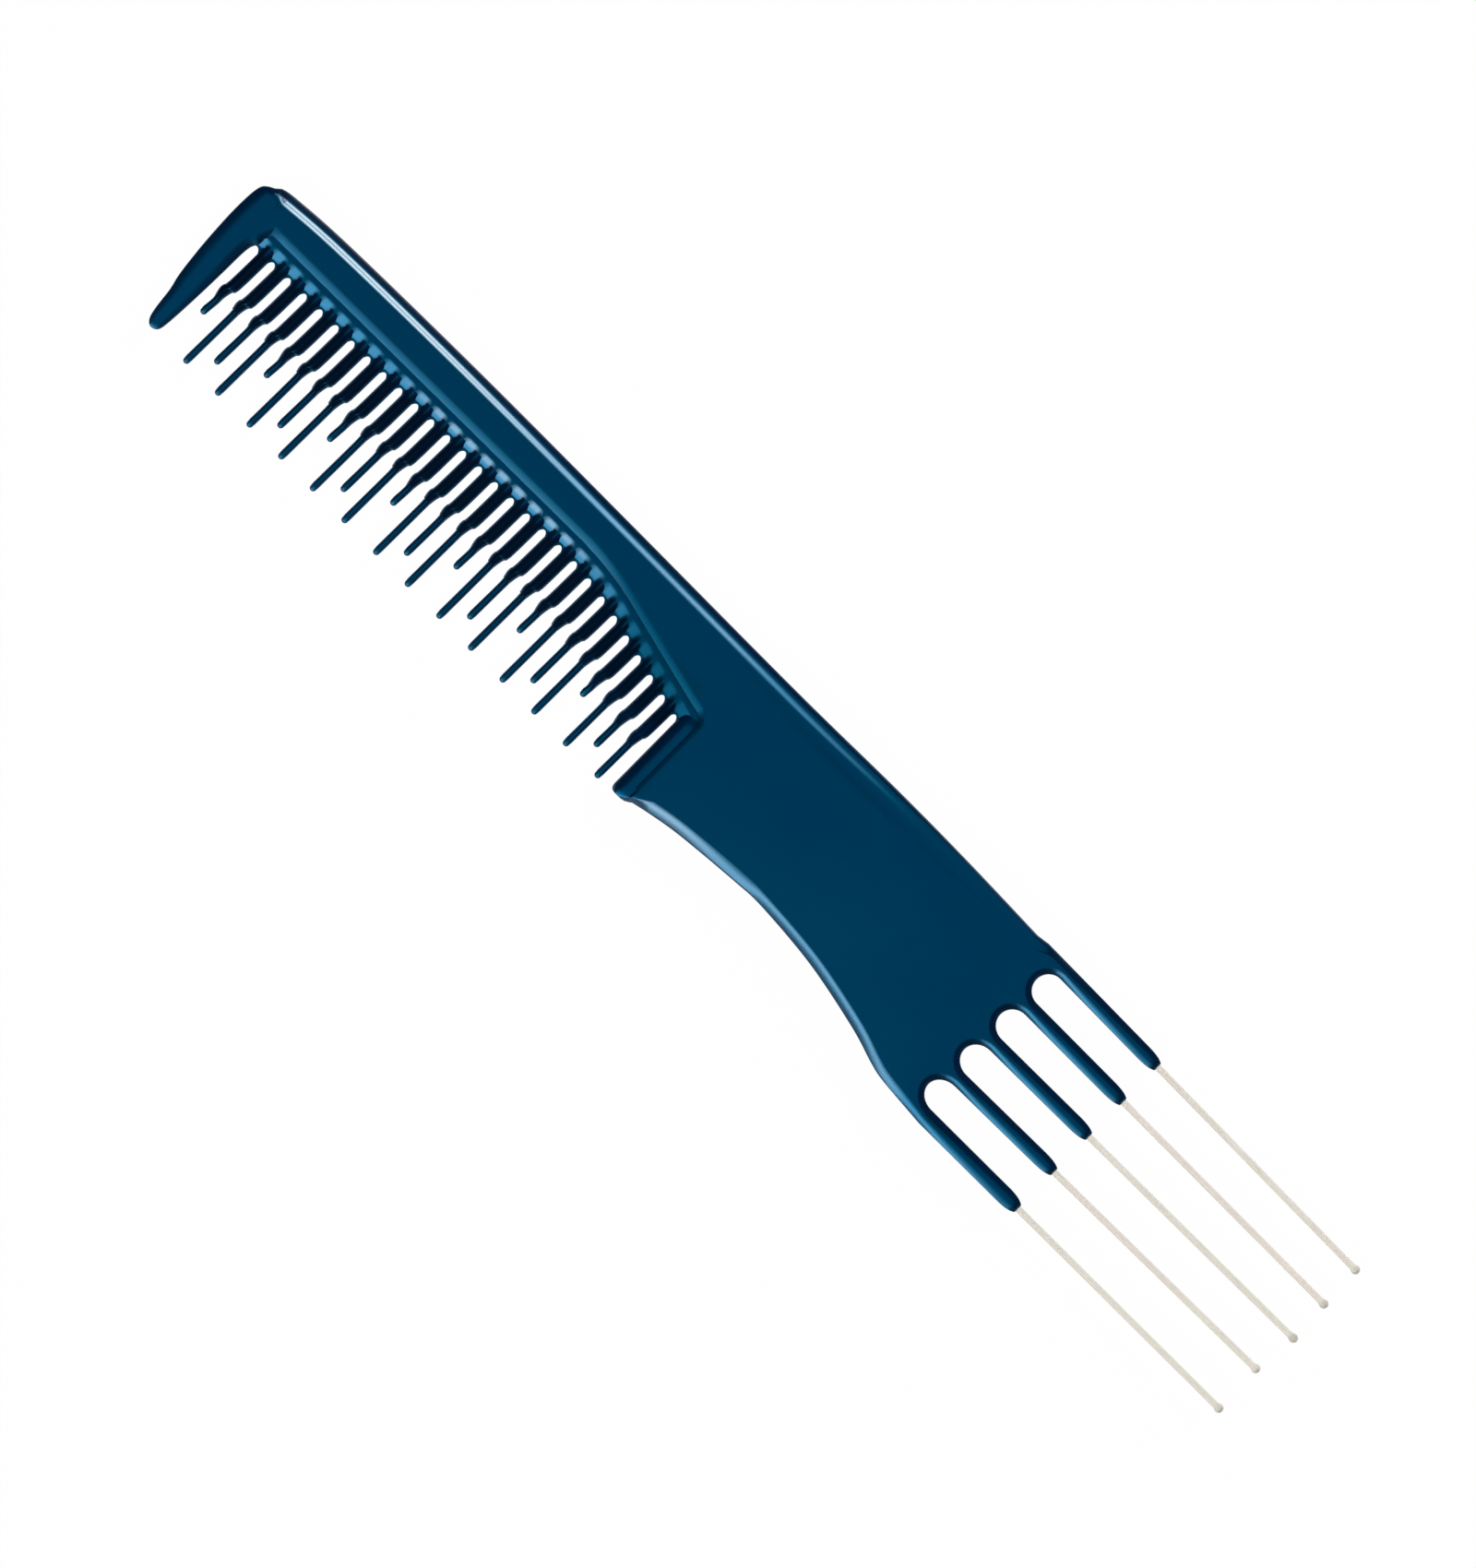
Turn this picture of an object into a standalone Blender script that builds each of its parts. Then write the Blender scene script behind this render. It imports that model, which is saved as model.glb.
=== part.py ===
"""Backcombing comb with a five-tined lift fork, lying flat.

One moulded plastic body carries the end guard, a beaded spine, a web, a recessed row of stepped teeth, the
heel guard, the handle and five fork fingers. A steel lift tine with a ball tip is moulded into each finger,
and the flattened anchor at its buried end keeps it there.

Metres, +X along the comb to the tips of the tines, +Y to the spine, +Z up. While the pieces are shaped, x is
measured from the end guard's outer side, y from the crest of the spine and z from the middle plane.
"""
import math
from collections import namedtuple

import bmesh
import bpy
from mathutils import Matrix, Vector

# Lengths along the comb: to the heel, from there to the roots of the fork, its fingers and the bare tines
HEEL = 0.0898
HANDLE_LENGTH = 0.0535
FINGER_LENGTH = 0.0191
TINE_REACH = 0.0376
FORK_ROOT = HEEL + HANDLE_LENGTH
BODY_LENGTH = FORK_ROOT + FINGER_LENGTH
OVERALL_LENGTH = BODY_LENGTH + TINE_REACH

# Thicknesses
SPINE_THICKNESS = 0.0040
WEB_THICKNESS = 0.0028
BAND_THICKNESS = 0.0020
GUARD_TIP_THICKNESS = 0.0017
FINGER_ROOT_THICKNESS = 0.0027

# Lift tines: wire, ball tip and the flattened anchor at the buried end, which stands on edge
TINE_DIAMETER = 0.0010
TINE_BALL_DIAMETER_SHARE = 1.3
TINE_SETBACKS = (0.0005, 0.0003, 0.0, 0.0007, 0.0005)
TINE_BURIAL = 0.0025
ANCHOR_LENGTH = 0.0021
ANCHOR_HEIGHT_SHARE = 1.5
ANCHOR_WIDTH_SHARE = 0.6
ANCHOR_TAPER_SHARE = 0.4
BORE_CLEARANCE = 0.00015
BORE_DIAMETER = TINE_DIAMETER + 2 * BORE_CLEARANCE

# Fork: round fingers round the bores, the last one a little stouter
FORK_DEPTH = 0.02918
FINGER_COUNT = 5
FINGER_WALL = 0.0004
FINGER_WIDTH = BORE_DIAMETER + 2 * FINGER_WALL
LAST_FINGER_EXTRA = 0.00024
FINGER_ROUNDOVER_SHARE = 0.93
FINGER_LEANS = tuple(math.radians(degrees) for degrees in (1.1, 0.6, 0.0, -0.3, 0.2))
FINGER_STEP_OUT = 0.0002
NOSE_LENGTH = 0.0024
NOSE_LIP = 0.00012
NOSE_WIDTH = BORE_DIAMETER + 2 * NOSE_LIP
NOSE_SHARES = ((0.2, 0.12), (0.65, 0.65))
SLOT_ROOT_LEAN = 0.00015

# Spine: its line falls away from the crest by shares of the bow, at shares of the way to the fork
SPINE_BOW = 0.00120
SPINE_LINE_SHARES = (
    (0.018, 0.87), (0.035, 0.54), (0.10, 0.14), (0.26, 0.0), (0.45, 0.21),
    (0.66, 0.51), (0.79, 0.44), (0.88, 0.60), (0.973, 1.0),
)
BEAD_WIDTH = 0.0020
BEAD_CROWN_INSET = 0.00075
BEAD_END_INSET = 0.00025
BEAD_FADE_LEAD = 0.0198
BEAD_FADE_LENGTH = 0.0450

# Fingers in a row: the first one stands a little above the end of the spine's line
FIRST_FINGER = SPINE_BOW + FINGER_WIDTH / 2 - FINGER_STEP_OUT
LAST_FINGER = FORK_DEPTH - (FINGER_WIDTH + LAST_FINGER_EXTRA) / 2
FINGER_PITCH = (LAST_FINGER - FIRST_FINGER) / (FINGER_COUNT - 1)

# Handle: the panel rises from the web until it is flush with the bead's crown, and falls to the fingers;
# its lower edge is given by shares of the handle's length and of the fork's depth
PANEL_RISE_LEAD = 0.0198
PANEL_RISE_LENGTH = 0.0480
PANEL_FALL_LEAD = 0.0018
PANEL_FALL_LENGTH = 0.0055
PANEL_RISE_START = HEEL - PANEL_RISE_LEAD
PANEL_RISE_END = PANEL_RISE_START + PANEL_RISE_LENGTH
PANEL_END = FORK_ROOT - PANEL_FALL_LEAD
PANEL_FALL_END = PANEL_END + PANEL_FALL_LENGTH
HANDLE_EDGE_SHARES = (
    (0.955, 0.987), (0.897, 0.976), (0.854, 0.957), (0.764, 0.906), (0.587, 0.838),
    (0.41, 0.806), (0.32, 0.808), (0.142, 0.835), (0.05, 0.860),
)
HANDLE_ROUNDOVER = 0.0016
HEEL_CORNER = 0.0006
HEEL_ROUNDOVER = 0.0012
HEEL_INNER_CORNER = 0.0012
HEEL_INNER_CORNER_SHARE = 0.7

# Tooth row: the ledge, the gap roots and the steps turn down at one angle on the way to the heel
DIAGONAL_ANGLE = math.radians(14.2)
LEDGE_DEPTH = 0.0063
LEDGE_TURN = 0.0228
LEDGE_TURN_LENGTH = 0.0100
LEDGE_ROUNDOVER = 0.0014
ROOT_DROP = 0.0020
ROOT_TURN = 0.0238
ROOT_TURN_LENGTH = 0.0120
ROOT_EDGE_THICKNESS = 0.0005
STEP_DROP = 0.0075
STEP_TURN = 0.0200
STEP_TURN_LENGTH = 0.0100
ROOT_DEPTH = LEDGE_DEPTH + ROOT_DROP
STEP_DEPTH = ROOT_DEPTH + STEP_DROP
BROW_SHARE = 0.2

# End guard: shares of its width, of the way from the gap roots to its tip, and of its edge's rounding
GUARD_WIDTH = 0.00465
GUARD_LENGTH = 0.0256
GUARD_ROUNDOVER_SHARE = 0.28
GUARD_CORNER_SHARES = ((1.16, 0.55, 1.0), (1.17, 0.93, 1.0))
GUARD_INNER_SHARES = (
    (1.05, 0.045, 1.0), (1.0, 0.13, 1.0), (0.985, 0.33, 0.95), (0.96, 0.55, 0.85), (0.92, 0.775, 0.75),
    (0.87, 0.93, 0.62), (0.79, 0.982, 0.6), (0.64, 1.0, 0.6), (0.51, 0.985, 0.6), (0.41, 0.94, 0.62),
    (0.345, 0.85, 0.68), (0.28, 0.70, 0.75), (0.18, 0.58, 0.8), (0.11, 0.43, 0.9), (0.05, 0.25, 1.0),
)
GUARD_TOP_SHARES = (
    (0.0, 0.97, 1.0), (0.015, 0.56, 1.0), (0.08, 0.345, 1.0), (0.22, 0.255, 1.0), (0.40, 0.20, 1.0),
)

# Teeth: as many as the row holds, short, long, medium and long in turn, leaning a little at their tips.
# The shares of a tooth's foot, step and tip: how far above the root, the step or the tip, in tooth or tip
# widths, then how far beside the axis, in bulges (step only), then its width and its thickness
FIRST_GAP = 0.00155
TOOTH_PITCH = 0.002886
TOOTH_WIDTH = 0.00172
TOOTH_THICKNESS = 0.0019
TIP_WIDTH = 0.00096
TIP_THICKNESS = 0.0011
TOOTH_REACHES = (0.0115, 0.01755, 0.0148, 0.01755)
TIP_LINE_FALL = 0.0009
FIRST_TOOTH_LEAN = 0.00066
LAST_TOOTH_LEAN = 0.00030
FIRST_TOOTH_BULGE = 0.00060
LAST_TOOTH_BULGE = 0.00040
FOOT_SHARES = ((0.7, 1.0, 0.8), (0.0, 1.39, 0.92), (-0.45, 1.0, 1.0))
STEP_SHARES = (
    (0.87, 0.25, 0.99, 0.99), (0.38, 0.8, 0.89, 0.93), (0.03, 1.0, 0.82, 0.90),
    (-0.41, 0.85, 0.65, 0.85), (-0.85, 0.55, 0.54, 0.80),
)
TIP_SHARES = ((0.6, 1.0, 1.0), (0.15, 0.66, 0.7), (0.0, 0.25, 0.25))
FIRST_TOOTH = GUARD_WIDTH + FIRST_GAP + TOOTH_WIDTH / 2

# Heel guard, with its tip as shares of its length and of the way across from its free side
HEEL_GUARD_WIDTH = 0.0030
HEEL_GUARD_LENGTH = 0.0264
HEEL_GUARD_OVERLAP = 0.0010
HEEL_GUARD_TIP_SHARES = ((0.95, 0.0, 1.0), (0.985, 0.03, 0.74), (1.0, 0.18, 0.5))
HEEL_GUARD_START = HEEL - HEEL_GUARD_WIDTH
TOOTH_COUNT = 1 + int((HEEL_GUARD_START - TOOTH_WIDTH / 2 - FIRST_TOOTH) / TOOTH_PITCH)

# Fineness of the shapes
CURVE_STEPS = 2
TOOTH_SIDES = 8
TINE_SIDES = 10
RISE_CUTS = 5
FALL_CUTS = 4
TURN_CUTS = 4
GUARD_CUTS = 3
SLOT_ARC_STEPS = 6
WELD_DISTANCE = 0.000002
LEAST_MITRE_SHARE = 0.7

# Profiles: the quarter turns of a rounded edge, those of the bead, its inner slope, and a tine's ball
ROUND_SHARES = (0.0, 0.2, 0.4, 0.6, 0.8, 1.0)
BEAD_TURN_SHARES = (0.0, 0.5, 1.0)
BEAD_SLOPE_SHARES = (1 / 3, 2 / 3, 1.0)
BALL_TURN_SHARES = (-0.25, 0.25, 0.6, 0.85)
BALL_END_SHARE = 0.08
RIGHT_ANGLE = math.pi / 2

# Finishes: linear colour, roughness, metallic
PLASTIC_FINISH = ((0.0, 0.036, 0.091), 0.35, 0.0)
STEEL_FINISH = ((0.70, 0.66, 0.60), 0.30, 1.0)

# A point of the body's outline: its place, the width of its rounded edge, and how much of the bead it has
Rim = namedtuple("Rim", "x y roundover bead crown")


def mix(start, end, share):
    """Returns the value at a share of the way from start to end."""
    return start + (end - start) * share


def smooth_share(value, start, end):
    """Returns 0 before start and 1 after end, with a smooth rise between them."""
    share = min(max((value - start) / (end - start), 0.0), 1.0)
    return share * share * (3 - 2 * share)


def smooth_line(points):
    """Returns a Catmull-Rom line through tuples of numbers, with CURVE_STEPS steps between neighbours."""
    line = []
    for index in range(len(points) - 1):
        before = points[max(index - 1, 0)]
        start, end = points[index], points[index + 1]
        after = points[min(index + 2, len(points) - 1)]
        for step in range(CURVE_STEPS):
            t = step / CURVE_STEPS
            place = []
            for a, b, c, d in zip(before, start, end, after):
                curve = (2 * a - 5 * b + 4 * c - d) * t ** 2 + (3 * b - a - 3 * c + d) * t ** 3
                place.append(b + ((c - a) * t + curve) / 2)
            line.append(tuple(place))
    return line + [points[-1]]


def turned_down(x, to_heel, span):
    """Returns how far a line that turns down at a distance before the heel has fallen at x."""
    bend = HEEL - to_heel
    start = bend - span / 2
    if x <= start:
        run = 0.0
    elif x < start + span:
        run = (x - start) ** 2 / (2 * span)
    else:
        run = x - bend
    return run * math.tan(DIAGONAL_ANGLE)


def ledge_y(x):
    """Returns the foot of the ledge, where the web ends, at x."""
    return -LEDGE_DEPTH - turned_down(x, LEDGE_TURN, LEDGE_TURN_LENGTH)


def root_y(x):
    """Returns the root of the gaps between the teeth at x."""
    return -ROOT_DEPTH - turned_down(x, ROOT_TURN, ROOT_TURN_LENGTH)


def step_y(x):
    """Returns the middle of a tooth's step at x."""
    return -STEP_DEPTH - turned_down(x, STEP_TURN, STEP_TURN_LENGTH)


def finger_y(index, x):
    """Returns the middle line of a fork finger at x."""
    root = -FIRST_FINGER - index * FINGER_PITCH
    return root - math.tan(FINGER_LEANS[index]) * (x - FORK_ROOT)


def finger_half_width(index):
    """Returns half the width of a fork finger; the last one is a little stouter."""
    extra = LAST_FINGER_EXTRA if index == FINGER_COUNT - 1 else 0.0
    return (FINGER_WIDTH + extra) / 2


def face_height(x, y):
    """Returns the height of the body's face above the middle plane."""
    web, spine = WEB_THICKNESS / 2, SPINE_THICKNESS / 2
    if x > PANEL_END:
        falling = mix(spine, FINGER_ROOT_THICKNESS / 2, smooth_share(x, PANEL_END, PANEL_FALL_END))
        nose_start = BODY_LENGTH - NOSE_LENGTH
        if x > PANEL_FALL_END:
            along = min((x - PANEL_FALL_END) / (nose_start - PANEL_FALL_END), 1.0)
            falling = mix(FINGER_ROOT_THICKNESS, FINGER_WIDTH, along) / 2
        if x > nose_start:
            falling = mix(FINGER_WIDTH, NOSE_WIDTH, (x - nose_start) / NOSE_LENGTH) / 2
        return falling
    if x < GUARD_WIDTH * GUARD_CORNER_SHARES[1][0] and y < -ROOT_DEPTH:
        along = (-y - ROOT_DEPTH) / (GUARD_LENGTH - ROOT_DEPTH)
        return mix(web, GUARD_TIP_THICKNESS / 2, min(along, 1.0))
    return mix(web, spine, smooth_share(x, PANEL_RISE_START, PANEL_RISE_END))


def spine_rims():
    """Returns the outline along the spine, from the end guard to the fork."""
    points = [(along * FORK_ROOT, -fall * SPINE_BOW) for along, fall in SPINE_LINE_SHARES]
    fade_start = HEEL - BEAD_FADE_LEAD
    rims = []
    for x, y in smooth_line(points):
        fade = smooth_share(x, fade_start, fade_start + BEAD_FADE_LENGTH)
        rims.append(Rim(x, y, HEEL_ROUNDOVER, 1.0, mix(BEAD_CROWN_INSET, BEAD_END_INSET, fade)))
    rims[0] = rims[0]._replace(bead=BEAD_CROWN_INSET / BEAD_WIDTH)
    return rims


def finger_rims(index):
    """Returns the outline of one finger, out along its upper side, round its nose and back."""
    half = finger_half_width(index)
    nose_start = BODY_LENGTH - NOSE_LENGTH
    start = FORK_ROOT + (FINGER_PITCH - FINGER_WIDTH) / 2
    narrow = NOSE_WIDTH / 2
    side = [(start, half), (nose_start, half)]
    for along, narrowing in NOSE_SHARES:
        side.append((nose_start + along * NOSE_LENGTH, mix(half, narrow, narrowing)))
    side.append((BODY_LENGTH, narrow))
    rims = []
    for sign, places in ((1, side), (-1, side[::-1])):
        for x, reach in places:
            roundover = FINGER_ROUNDOVER_SHARE * reach
            rims.append(Rim(x, finger_y(index, x) + sign * reach, roundover, 0.0, BEAD_END_INSET))
    return rims


def slot_rims(index):
    """Returns the rounded root of the slot under a finger."""
    root = FORK_ROOT - index * SLOT_ROOT_LEAN
    start = FORK_ROOT + (FINGER_PITCH - FINGER_WIDTH) / 2
    top = finger_y(index, start) - finger_half_width(index)
    bottom = finger_y(index + 1, start) + finger_half_width(index + 1)
    rims = []
    for step in range(1, SLOT_ARC_STEPS):
        angle = math.pi * step / SLOT_ARC_STEPS
        x = start - (start - root) * math.sin(angle)
        y = mix(bottom, top, (1 + math.cos(angle)) / 2)
        rims.append(Rim(x, y, FINGER_ROUNDOVER_SHARE * FINGER_WIDTH / 2, 0.0, BEAD_END_INSET))
    return rims


def fork_rims():
    """Returns the outline of the fork, from the spine's end round every finger to the handle's edge."""
    notch = FORK_ROOT - FINGER_WIDTH
    half = finger_half_width(0)
    rims = [Rim(notch, finger_y(0, notch) + half, FINGER_ROUNDOVER_SHARE * half, 0.5, BEAD_END_INSET)]
    for index in range(FINGER_COUNT):
        rims += finger_rims(index)
        if index < FINGER_COUNT - 1:
            rims += slot_rims(index)
    return rims


def handle_rims():
    """Returns the outline along the handle's lower edge, from the fork back to the heel."""
    points = [(HEEL + along * HANDLE_LENGTH, -depth * FORK_DEPTH) for along, depth in HANDLE_EDGE_SHARES]
    return [Rim(x, y, HANDLE_ROUNDOVER, 0.0, BEAD_END_INSET) for x, y in smooth_line(points)]


def heel_rims():
    """Returns the outline up the heel wall and back along the ledge to the end guard."""
    foot = -HANDLE_EDGE_SHARES[-1][1] * FORK_DEPTH - HEEL_CORNER
    corner = ledge_y(HEEL)
    diagonal_end = HEEL - HEEL_INNER_CORNER
    rims = [
        Rim(HEEL + HEEL_CORNER, foot, HEEL_ROUNDOVER, 0.0, BEAD_END_INSET),
        Rim(HEEL, foot + HEEL_CORNER, HEEL_ROUNDOVER, 0.0, BEAD_END_INSET),
        Rim(HEEL, corner - HEEL_INNER_CORNER, HEEL_ROUNDOVER, 0.0, BEAD_END_INSET),
        Rim(mix(diagonal_end, HEEL, HEEL_INNER_CORNER_SHARE),
            mix(corner - HEEL_INNER_CORNER, ledge_y(diagonal_end), HEEL_INNER_CORNER_SHARE),
            LEDGE_ROUNDOVER, 0.0, BEAD_END_INSET),
    ]
    turn_start = HEEL - LEDGE_TURN - LEDGE_TURN_LENGTH / 2
    turn_end = turn_start + LEDGE_TURN_LENGTH
    places = [diagonal_end] + [mix(turn_end, turn_start, step / TURN_CUTS) for step in range(TURN_CUTS + 1)]
    places += [(turn_start + GUARD_WIDTH) / 2, GUARD_WIDTH]
    rims += [Rim(x, ledge_y(x), LEDGE_ROUNDOVER, 0.0, BEAD_END_INSET) for x in places]
    return rims


def guard_rims():
    """Returns the outline of the end guard: down its inner side, round the tip and up the outer side."""
    stretches = (
        (GUARD_CORNER_SHARES, LEDGE_DEPTH, ROOT_DEPTH),
        (GUARD_INNER_SHARES, ROOT_DEPTH, GUARD_LENGTH),
        (GUARD_TOP_SHARES, 0.0, ROOT_DEPTH),
    )
    rims = []
    for shares, start, end in stretches:
        for across, along, edge in shares:
            roundover = edge * GUARD_ROUNDOVER_SHARE * GUARD_WIDTH
            rims.append(Rim(across * GUARD_WIDTH, -mix(start, end, along), roundover, 0.0, BEAD_END_INSET))
    return rims


def inward_steps(rims):
    """Returns for each point of the outline the step that moves it inward by one unit."""
    steps = []
    for index, rim in enumerate(rims):
        before, after = rims[index - 1], rims[(index + 1) % len(rims)]
        arriving = Vector((rim.x - before.x, rim.y - before.y)).normalized()
        leaving = Vector((after.x - rim.x, after.y - rim.y)).normalized()
        middle = (arriving + leaving).normalized()
        steps.append(Vector((middle.y, -middle.x)) / max(middle.dot(arriving), LEAST_MITRE_SHARE))
    return steps


def edge_profile(rim, level):
    """Returns how far inward and how high the outline's edge is at one level of its profile."""
    web, spine = WEB_THICKNESS / 2, SPINE_THICKNESS / 2
    turn = ROUND_SHARES[level] * RIGHT_ANGLE
    inward = rim.roundover * (1 - math.cos(turn))
    height = web * math.sin(turn)
    if level < len(BEAD_TURN_SHARES):
        turn = BEAD_TURN_SHARES[level] * RIGHT_ANGLE
        bead_inward = rim.crown * (1 - math.cos(turn))
        bead_height = spine * math.sin(turn)
    else:
        share = BEAD_SLOPE_SHARES[level - len(BEAD_TURN_SHARES)]
        bead_inward = mix(rim.crown, BEAD_WIDTH, share)
        bead_height = mix(web, spine, (1 + math.cos(math.pi * share)) / 2)
    return mix(inward, bead_inward, rim.bead), mix(height, bead_height, rim.bead)


def extruded_ring(bm, ring, places):
    """Extrudes a closed ring of vertices and moves each new vertex to its place."""
    edges = [bm.edges.get((ring[index - 1], ring[index])) for index in range(len(ring))]
    grown = bmesh.ops.extrude_edge_only(bm, edges=edges)["geom"]
    new = [item for item in grown if isinstance(item, bmesh.types.BMVert)]
    following = []
    for vertex, place in zip(ring, places):
        copy = next(edge.other_vert(vertex) for edge in vertex.link_edges if edge.other_vert(vertex) in new)
        copy.co = place
        following.append(copy)
    return following


def cut_across(bm, places, axis, reach):
    """Cuts the mesh across an axis at each place, as far as reach along x."""
    for place in places:
        part = [face for face in bm.faces if face.calc_center_bounds().x < reach]
        edges = dict.fromkeys(edge for face in part for edge in face.edges)
        vertices = dict.fromkeys(vertex for face in part for vertex in face.verts)
        bmesh.ops.bisect_plane(bm, geom=[*vertices, *edges, *part], dist=WELD_DISTANCE,
                               plane_co=axis * place, plane_no=axis)


def set_heights(bm):
    """Lifts the flat-faced half to the face's height at every place; the bead's crown stays level."""
    web, spine = WEB_THICKNESS / 2, SPINE_THICKNESS / 2
    for vertex in bm.verts:
        face = face_height(vertex.co.x, vertex.co.y)
        if vertex.co.z > web:
            vertex.co.z = mix(face, spine, (vertex.co.z - web) / (spine - web))
        else:
            vertex.co.z *= face / web


def mesh_object(name, bm, parent=None):
    """Turns a finished bmesh into a named object with smooth round sides."""
    bmesh.ops.recalc_face_normals(bm, faces=bm.faces)
    mesh = bpy.data.meshes.new(name)
    bm.to_mesh(mesh)
    bm.free()
    mesh.shade_smooth()
    mesh.set_sharp_from_angle(angle=RIGHT_ANGLE / 2)
    piece = bpy.data.objects.new(name, mesh)
    piece.parent = parent
    bpy.context.scene.collection.objects.link(piece)
    return piece


def body_plate(parent):
    """Makes the spine, web, handle, end guard and fingers as one plate with shaped edges."""
    rims = spine_rims() + fork_rims() + handle_rims() + heel_rims() + guard_rims()
    inward = inward_steps(rims)
    bm = bmesh.new()
    ring = [bm.verts.new((rim.x, rim.y, 0.0)) for rim in rims]
    for index in range(len(ring)):
        bm.edges.new((ring[index - 1], ring[index]))
    for level in range(1, len(ROUND_SHARES)):
        places = []
        for rim, step in zip(rims, inward):
            distance, height = edge_profile(rim, level)
            places.append((rim.x + step.x * distance, rim.y + step.y * distance, height))
        ring = extruded_ring(bm, ring, places)
    face_edges = [bm.edges.get((ring[index - 1], ring[index])) for index in range(len(ring))]
    bmesh.ops.contextual_create(bm, geom=face_edges)
    rise = [mix(PANEL_RISE_START, PANEL_RISE_END, cut / RISE_CUTS) for cut in range(RISE_CUTS + 1)]
    fall = [mix(PANEL_END, PANEL_FALL_END, cut / FALL_CUTS) for cut in range(FALL_CUTS + 1)]
    cut_across(bm, rise + fall + [BODY_LENGTH - NOSE_LENGTH], Vector((1, 0, 0)), OVERALL_LENGTH)
    guard = [-mix(ROOT_DEPTH, GUARD_LENGTH, cut / GUARD_CUTS) for cut in range(GUARD_CUTS)]
    cut_across(bm, guard, Vector((0, 1, 0)), GUARD_WIDTH)
    set_heights(bm)
    bmesh.ops.mirror(bm, geom=bm.verts[:] + bm.edges[:] + bm.faces[:], axis="Z", merge_dist=WELD_DISTANCE)
    return mesh_object("comb_body", bm, parent)


def oval_ring(bm, centre, across, up, sides):
    """Adds an oval ring of edges round a centre, from the half sizes given as vectors."""
    along = across.cross(up).normalized()
    matrix = Matrix((across, up, along)).transposed().to_4x4()
    matrix.translation = centre
    vertices = bmesh.ops.create_circle(bm, cap_ends=False, segments=sides, radius=1.0, matrix=matrix)["verts"]
    return list(dict.fromkeys(edge for vertex in vertices for edge in vertex.link_edges))


def add_oval_loft(bm, sections, sides):
    """Adds a closed body through oval sections, each a centre and the half sizes as two vectors."""
    rings = [oval_ring(bm, centre, across, up, sides) for centre, across, up in sections]
    for first, second in zip(rings, rings[1:]):
        bmesh.ops.bridge_loops(bm, edges=first + second)
    for end in (rings[0], rings[-1]):
        bmesh.ops.edgeloop_fill(bm, edges=end)


def tooth_length(index):
    """Returns how far a tooth's tip lies below the crest of the spine."""
    return ROOT_DEPTH + TOOTH_REACHES[index % len(TOOTH_REACHES)] + TIP_LINE_FALL * index / TOOTH_COUNT


def tooth_sections(index):
    """Returns the oval sections of one stepped tooth, from inside the tooth band to its tip."""
    x = FIRST_TOOTH + index * TOOTH_PITCH
    root, step, tip = root_y(x), step_y(x), -tooth_length(index)
    lean = mix(FIRST_TOOTH_LEAN, LAST_TOOTH_LEAN, index / TOOTH_COUNT)
    bulge = mix(FIRST_TOOTH_BULGE, LAST_TOOTH_BULGE, index / TOOTH_COUNT)
    places = [(root + above * TOOTH_WIDTH, 0.0, width * TOOTH_WIDTH, thickness * TOOTH_THICKNESS)
              for above, width, thickness in FOOT_SHARES]
    places += [(step + above * TOOTH_WIDTH, -beside * bulge, width * TOOTH_WIDTH, thickness * TOOTH_THICKNESS)
               for above, beside, width, thickness in STEP_SHARES]
    places += [(tip + above * TIP_WIDTH, -lean, width * TIP_WIDTH, thickness * TIP_THICKNESS)
               for above, width, thickness in TIP_SHARES]
    sections = []
    for y, offset, width, thickness in places:
        sections.append((Vector((x + offset, y, 0.0)), Vector((width / 2, 0.0, 0.0)),
                         Vector((0.0, 0.0, thickness / 2))))
    return sections


def tooth_row(parent):
    """Makes all the teeth, as forms that are joined to the plate."""
    bm = bmesh.new()
    for index in range(TOOTH_COUNT):
        add_oval_loft(bm, tooth_sections(index), TOOTH_SIDES)
    return form_only(mesh_object("tooth_forms", bm, parent))


def tooth_band(parent):
    """Makes the recessed band between the ledge and the gap roots, which narrows to the gaps' edge."""
    face, edge = BAND_THICKNESS / 2, ROOT_EDGE_THICKNESS / 2
    turn = HEEL - ROOT_TURN
    places = [GUARD_WIDTH, turn - ROOT_TURN_LENGTH / 2, turn - ROOT_TURN_LENGTH / 4, turn,
              turn + ROOT_TURN_LENGTH / 4, turn + ROOT_TURN_LENGTH / 2, HEEL]
    bm = bmesh.new()
    ring = []
    for x in places:
        top, root = ledge_y(x) + LEDGE_ROUNDOVER, root_y(x)
        brow = mix(ledge_y(x), root, BROW_SHARE)
        section = [(x, top, face), (x, brow, face), (x, root, edge), (x, root, -edge), (x, brow, -face),
                   (x, top, -face)]
        if ring:
            ring = extruded_ring(bm, ring, section)
        else:
            ring = [bm.verts.new(place) for place in section]
            for index in range(len(ring)):
                bm.edges.new((ring[index - 1], ring[index]))
    ends = [edge for edge in bm.edges if edge.is_boundary]
    bmesh.ops.holes_fill(bm, edges=ends, sides=0)
    return form_only(mesh_object("tooth_band_form", bm, parent))


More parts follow.
